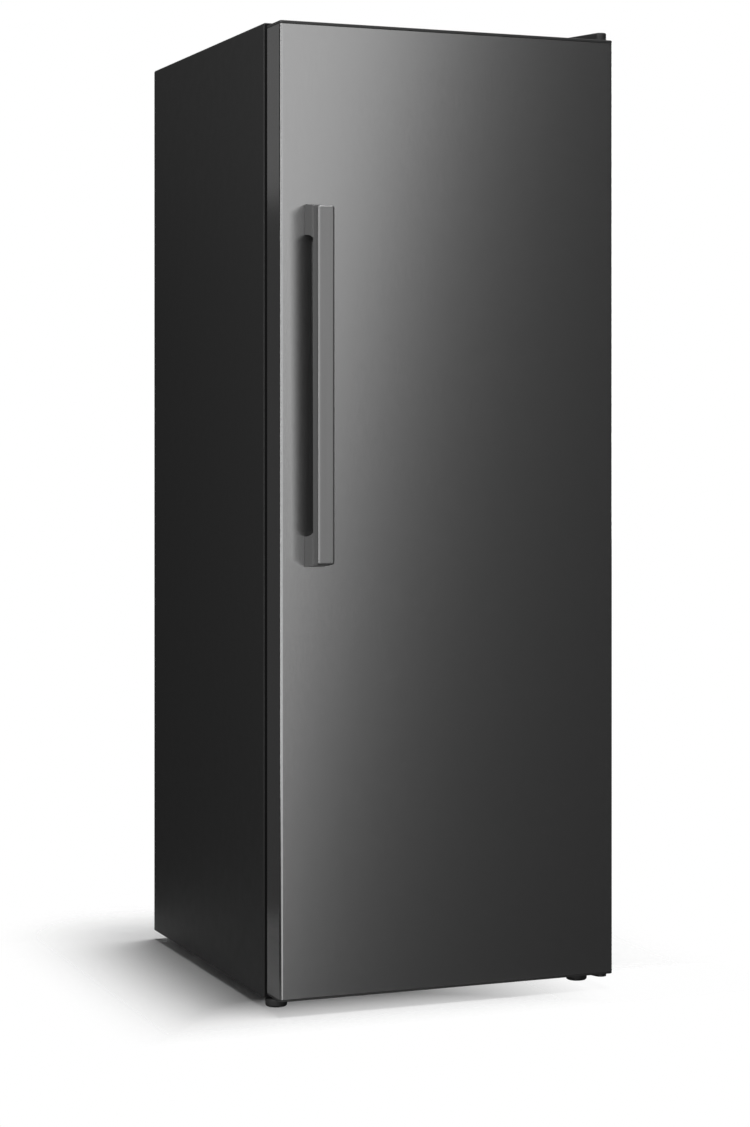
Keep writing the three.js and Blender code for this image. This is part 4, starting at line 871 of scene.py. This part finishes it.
def niche_pipe(level, wall_x, rise):
    """Pipe from a stub of the compressor, at a part of its height, to the wall of the niche."""
    z = UNIT_LOW + (UNIT_HIGH - UNIT_LOW) * level
    start = UNIT_X0 - 0.3
    high = z + rise
    route = [(start, UNIT_Y, z), (start - 30, UNIT_Y, z), (start - 60, UNIT_Y - 20, z + rise / 2)]
    route += [(wall_x, NICHE_WALL + before, high) for before in (60, 30, 0)]
    collar = lathe([(4.6, 0), (5.1, 1), (5.1, 11), (4.6, 12)], (start - 12.5, UNIT_Y, z), "x", 24)
    return merge(tube(smooth_path(route), 4, 20), collar)


def filter_drier():
    """Copper can with drawn-in ends and a pipe at each."""
    x0, y0, z0, x1, y1, z1 = corners("filter_drier")
    x, y, low, high = x0 + 10, y1 - 10, z0 + 23, z1 - 22
    half = [(3.6, 0), (4, 5), (4.8, 7.5), (7.6, 10.5), (9.4, 13.4), (10, 17), (10, 22), (9.5, 22.6),
            (9.5, 23.6), (10, 24.2)]
    can = half + [(r, high - low - h) for r, h in half[::-1]]

    def tail(end, up, r):
        level = end + up * 20
        route = [(x, y, end - up * 5), (x, y, end + up * 10), (x + 5, y - 20, level),
                 (x + 10, NICHE_WALL + 20, level), (x + 10, NICHE_WALL, level)]
        return tube(smooth_path(route), r, 16)

    return merge(lathe(can, (x, y, low), steps=40), tail(low, -1, 3), tail(high, 1, 2))


piece("compressor_shell", compressor(), "cabinet", "compressor_black", ["compressor"], edge=0.4, angle=50)
piece("melt_tray", melt_tray(), "cabinet", "dark_plastic", ["evaporation_tray"], angle=60)
piece("suction_line", niche_pipe(SUCTION_LEVEL, -60, 20), "cabinet", "copper", ["suction_pipe"])
piece("discharge_line", niche_pipe(DISCHARGE_LEVEL, -110, -10), "cabinet", "copper", ["discharge_pipe"])
piece("drier_can", filter_drier(), "cabinet", "copper", ["filter_drier"])
dress("compressor_plate", "galvanised", 0.2)
dress("terminal_box", "dark_plastic", 0.8)
for i in MOUNTS:
    dress(f"compressor_mount_{i}", "mount_rubber")


# ---------- screws ----------


def back_screws():
    """Low screws round the back panel, inside the hem of the casing."""
    x0, y0, z0, x1, y1, z1 = corners("back_panel")
    inset, rows, first, last = 21, 6, z0 + 14, z1 - 20
    levels = [first + k * (last - first) / (rows - 1) for k in range(rows)]
    places = [(x, z) for z in levels for x in (x0 + inset, x1 - inset)]
    places += [(x, z1 - inset) for x in (-100, 100)]
    return merge(*[screw(x, y1 - 1, z, 1, r=3.4, height=0.5) for x, z in places])


def hinge_screws():
    """Two screws through the leg of the lower hinge bracket."""
    x0, y0, z0, x1, y1, z1 = corners("bottom_hinge_bracket")
    return merge(*[screw(x, y1 - 3, CASE_LOW + 19, -1) for x in (x0 + 10, x1 - 10)])


piece("back_panel_screws", back_screws(), "cabinet", "pin_steel")
piece("hinge_bracket_screws", hinge_screws(), "cabinet", "pin_steel")


# ---------- studio: metres ----------

ROOM_STRENGTH = 0.088
BACKDROP_SIDE = (0.371, 0.928, 0.0)
BACKDROP_EDGE = (0.9, 0.97)
FLOOR_RADIUS = 1.4

# The floor is solid under the cabinet's footprint moved by SHADOW_SHIFT, and clears to the background
# over SHADOW_REACH round it. In front it clears sooner: over CLEAR_Y, and on the right over
# RIGHT_CLEAR_X and RIGHT_CLEAR_Y together. Under the door's front this lifts the floor's shadow
# towards white, which is painted light.
SHADOW_SHIFT = (0, 0.06, 0)
SHADOW_REACH = 0.3
CLEAR_Y = (-0.17, -0.42)
RIGHT_CLEAR_X = (-0.1, 0.26)
RIGHT_CLEAR_Y = (-0.12, -0.19)
RIGHT_CLEAR_MOST = 0.95


def studio_world():
    """Dim room with a white backdrop.

    The camera sees white all round. Metal and glass see it only towards BACKDROP_SIDE.
    """
    scene.world = bpy.data.worlds.new("studio")
    scene.world.use_nodes = True
    nodes = Nodes(scene.world.node_tree)
    nodes.tree.nodes.clear()
    rays = nodes.add("ShaderNodeLightPath").outputs
    room = nodes.add("ShaderNodeBackground", Color=(1, 1, 1, 1), Strength=ROOM_STRENGTH)
    white = nodes.add("ShaderNodeBackground", Color=(1, 1, 1, 1), Strength=1.0)
    where = nodes.add("ShaderNodeTexCoord").outputs["Generated"]
    behind = nodes.ramp(nodes.vector("DOT_PRODUCT", where, BACKDROP_SIDE, "Value"), *BACKDROP_EDGE)
    shiny = nodes.maths("MAXIMUM", rays["Is Glossy Ray"], rays["Is Transmission Ray"])
    seen = nodes.maths("MAXIMUM", rays["Is Camera Ray"], nodes.maths("MULTIPLY", shiny, behind))
    both = nodes.blend(seen, room.outputs["Background"], white.outputs["Background"])
    nodes.link(both, nodes.add("ShaderNodeOutputWorld").inputs["Surface"])


def lamp(name, at, towards, size, strength, kind="AREA", height=None, roll=0.0, spare=None, only=None):
    """Lamp that the camera doesn't see.

    roll turns a panel about its own axis. The lamp leaves spare unlit, or lights nothing but only.
    """
    light = bpy.data.lights.new(name, kind)
    light.energy = strength
    if kind == "AREA":
        light.shape = "RECTANGLE"
        light.size = size
        light.size_y = height or size
    else:
        light.angle = math.radians(size)
    obj = bpy.data.objects.new(name, light)
    scene.collection.objects.link(obj)
    obj.location = at
    aim = (Vector(towards) - Vector(at)).to_track_quat("-Z", "Y")
    obj.rotation_euler = (aim @ Quaternion((0, 0, 1), math.radians(roll))).to_euler()
    obj.visible_camera = False
    if spare or only:
        group = bpy.data.collections.new(f"{name}_receivers")
        group.objects.link(spare or only)
        group.collection_objects[0].light_linking.link_state = "EXCLUDE" if spare else "INCLUDE"
        obj.light_linking.receiver_collection = group


def floor_look():
    """Pale floor that keeps the object's shadow, clears to the background away from it, and has painted light
    where it clears under the door's front.
    """
    made = finish("pale_floor", (0.93, 0.93, 0.93), 0.8, vary=0.004, bump=0.01)
    nodes = Nodes(made.node_tree)
    place = nodes.add("ShaderNodeTexCoord").outputs["Object"]
    beside = nodes.vector("ABSOLUTE", nodes.vector("SUBTRACT", place, SHADOW_SHIFT))
    past = nodes.vector("SUBTRACT", beside, (CASE_X1 * MM, CASE_BACK * MM, 0))
    away = nodes.vector("LENGTH", nodes.vector("MAXIMUM", past, (0, 0, 0)), result="Value")
    faded = nodes.ramp(away, 0.0, SHADOW_REACH, interpolation_type="SMOOTHSTEP")
    parts = nodes.add("ShaderNodeSeparateXYZ")
    nodes.link(place, parts.inputs["Vector"])
    x, y = parts.outputs["X"], parts.outputs["Y"]
    # Under the door's front the floor clears too, lifting its shadow there towards white: painted light.
    near_right = nodes.ramp(y, *RIGHT_CLEAR_Y, high=RIGHT_CLEAR_MOST)
    right = nodes.maths("MULTIPLY", nodes.ramp(x, *RIGHT_CLEAR_X), near_right)
    front = nodes.maths("MAXIMUM", right, nodes.ramp(y, *CLEAR_Y))
    clear = nodes.maths("MAXIMUM", faded, front)
    solid = made.node_tree.nodes["Principled BSDF"].outputs["BSDF"]
    mixed = nodes.blend(clear, solid, nodes.add("ShaderNodeBsdfTransparent").outputs["BSDF"])
    nodes.link(mixed, made.node_tree.nodes["Material Output"].inputs["Surface"])
    return made


def floor():
    """Round floor under the object."""
    ring = [(FLOOR_RADIUS * x, FLOOR_RADIUS * y) for x, y in arc(0, 0, 1, 0, 360, 96)[:-1]]
    mesh = bpy.data.meshes.new("floor")
    mesh.from_pydata(lay_z(ring, 0), [], [tuple(range(len(ring)))])
    mesh.materials.append(floor_look())
    obj = bpy.data.objects.new("floor", mesh)
    scene.collection.objects.link(obj)
    return obj


studio_world()
ground = floor()
lamp("front_panel", (-0.875, -1.9, 1.05), (-0.875, 0, 1.05), 2.5, 41, height=2.9, roll=-13, spare=ground)
lamp("edge_strip", (-1.9, -1.0, 1.4), (-0.3, -0.3, 1.4), 0.5, 18, height=2.6, spare=ground)
lamp("side_glow", (-1.1, 1.75, 2.0), (-0.3, -0.3, 1.5), 0.6, 0.5, height=1.0, spare=ground)
lamp("side_panel", (-1.3, -0.9, 2.3), (-0.3, -0.2, 1.3), 0.6, 9.5, spare=ground)
lamp("rear_panel", (2.1, 2.0, 1.5), (0, 0.1, 0.8), 1.8, 95, spare=ground)
lamp("floor_fill", (1.2, -2.6, 1.0), (0, -0.35, 0), 1.2, 6.5, only=ground)
lamp("overhead", (0.55, -0.02, 4), (0, 0, 0), 24, 2.9, kind="SUN")
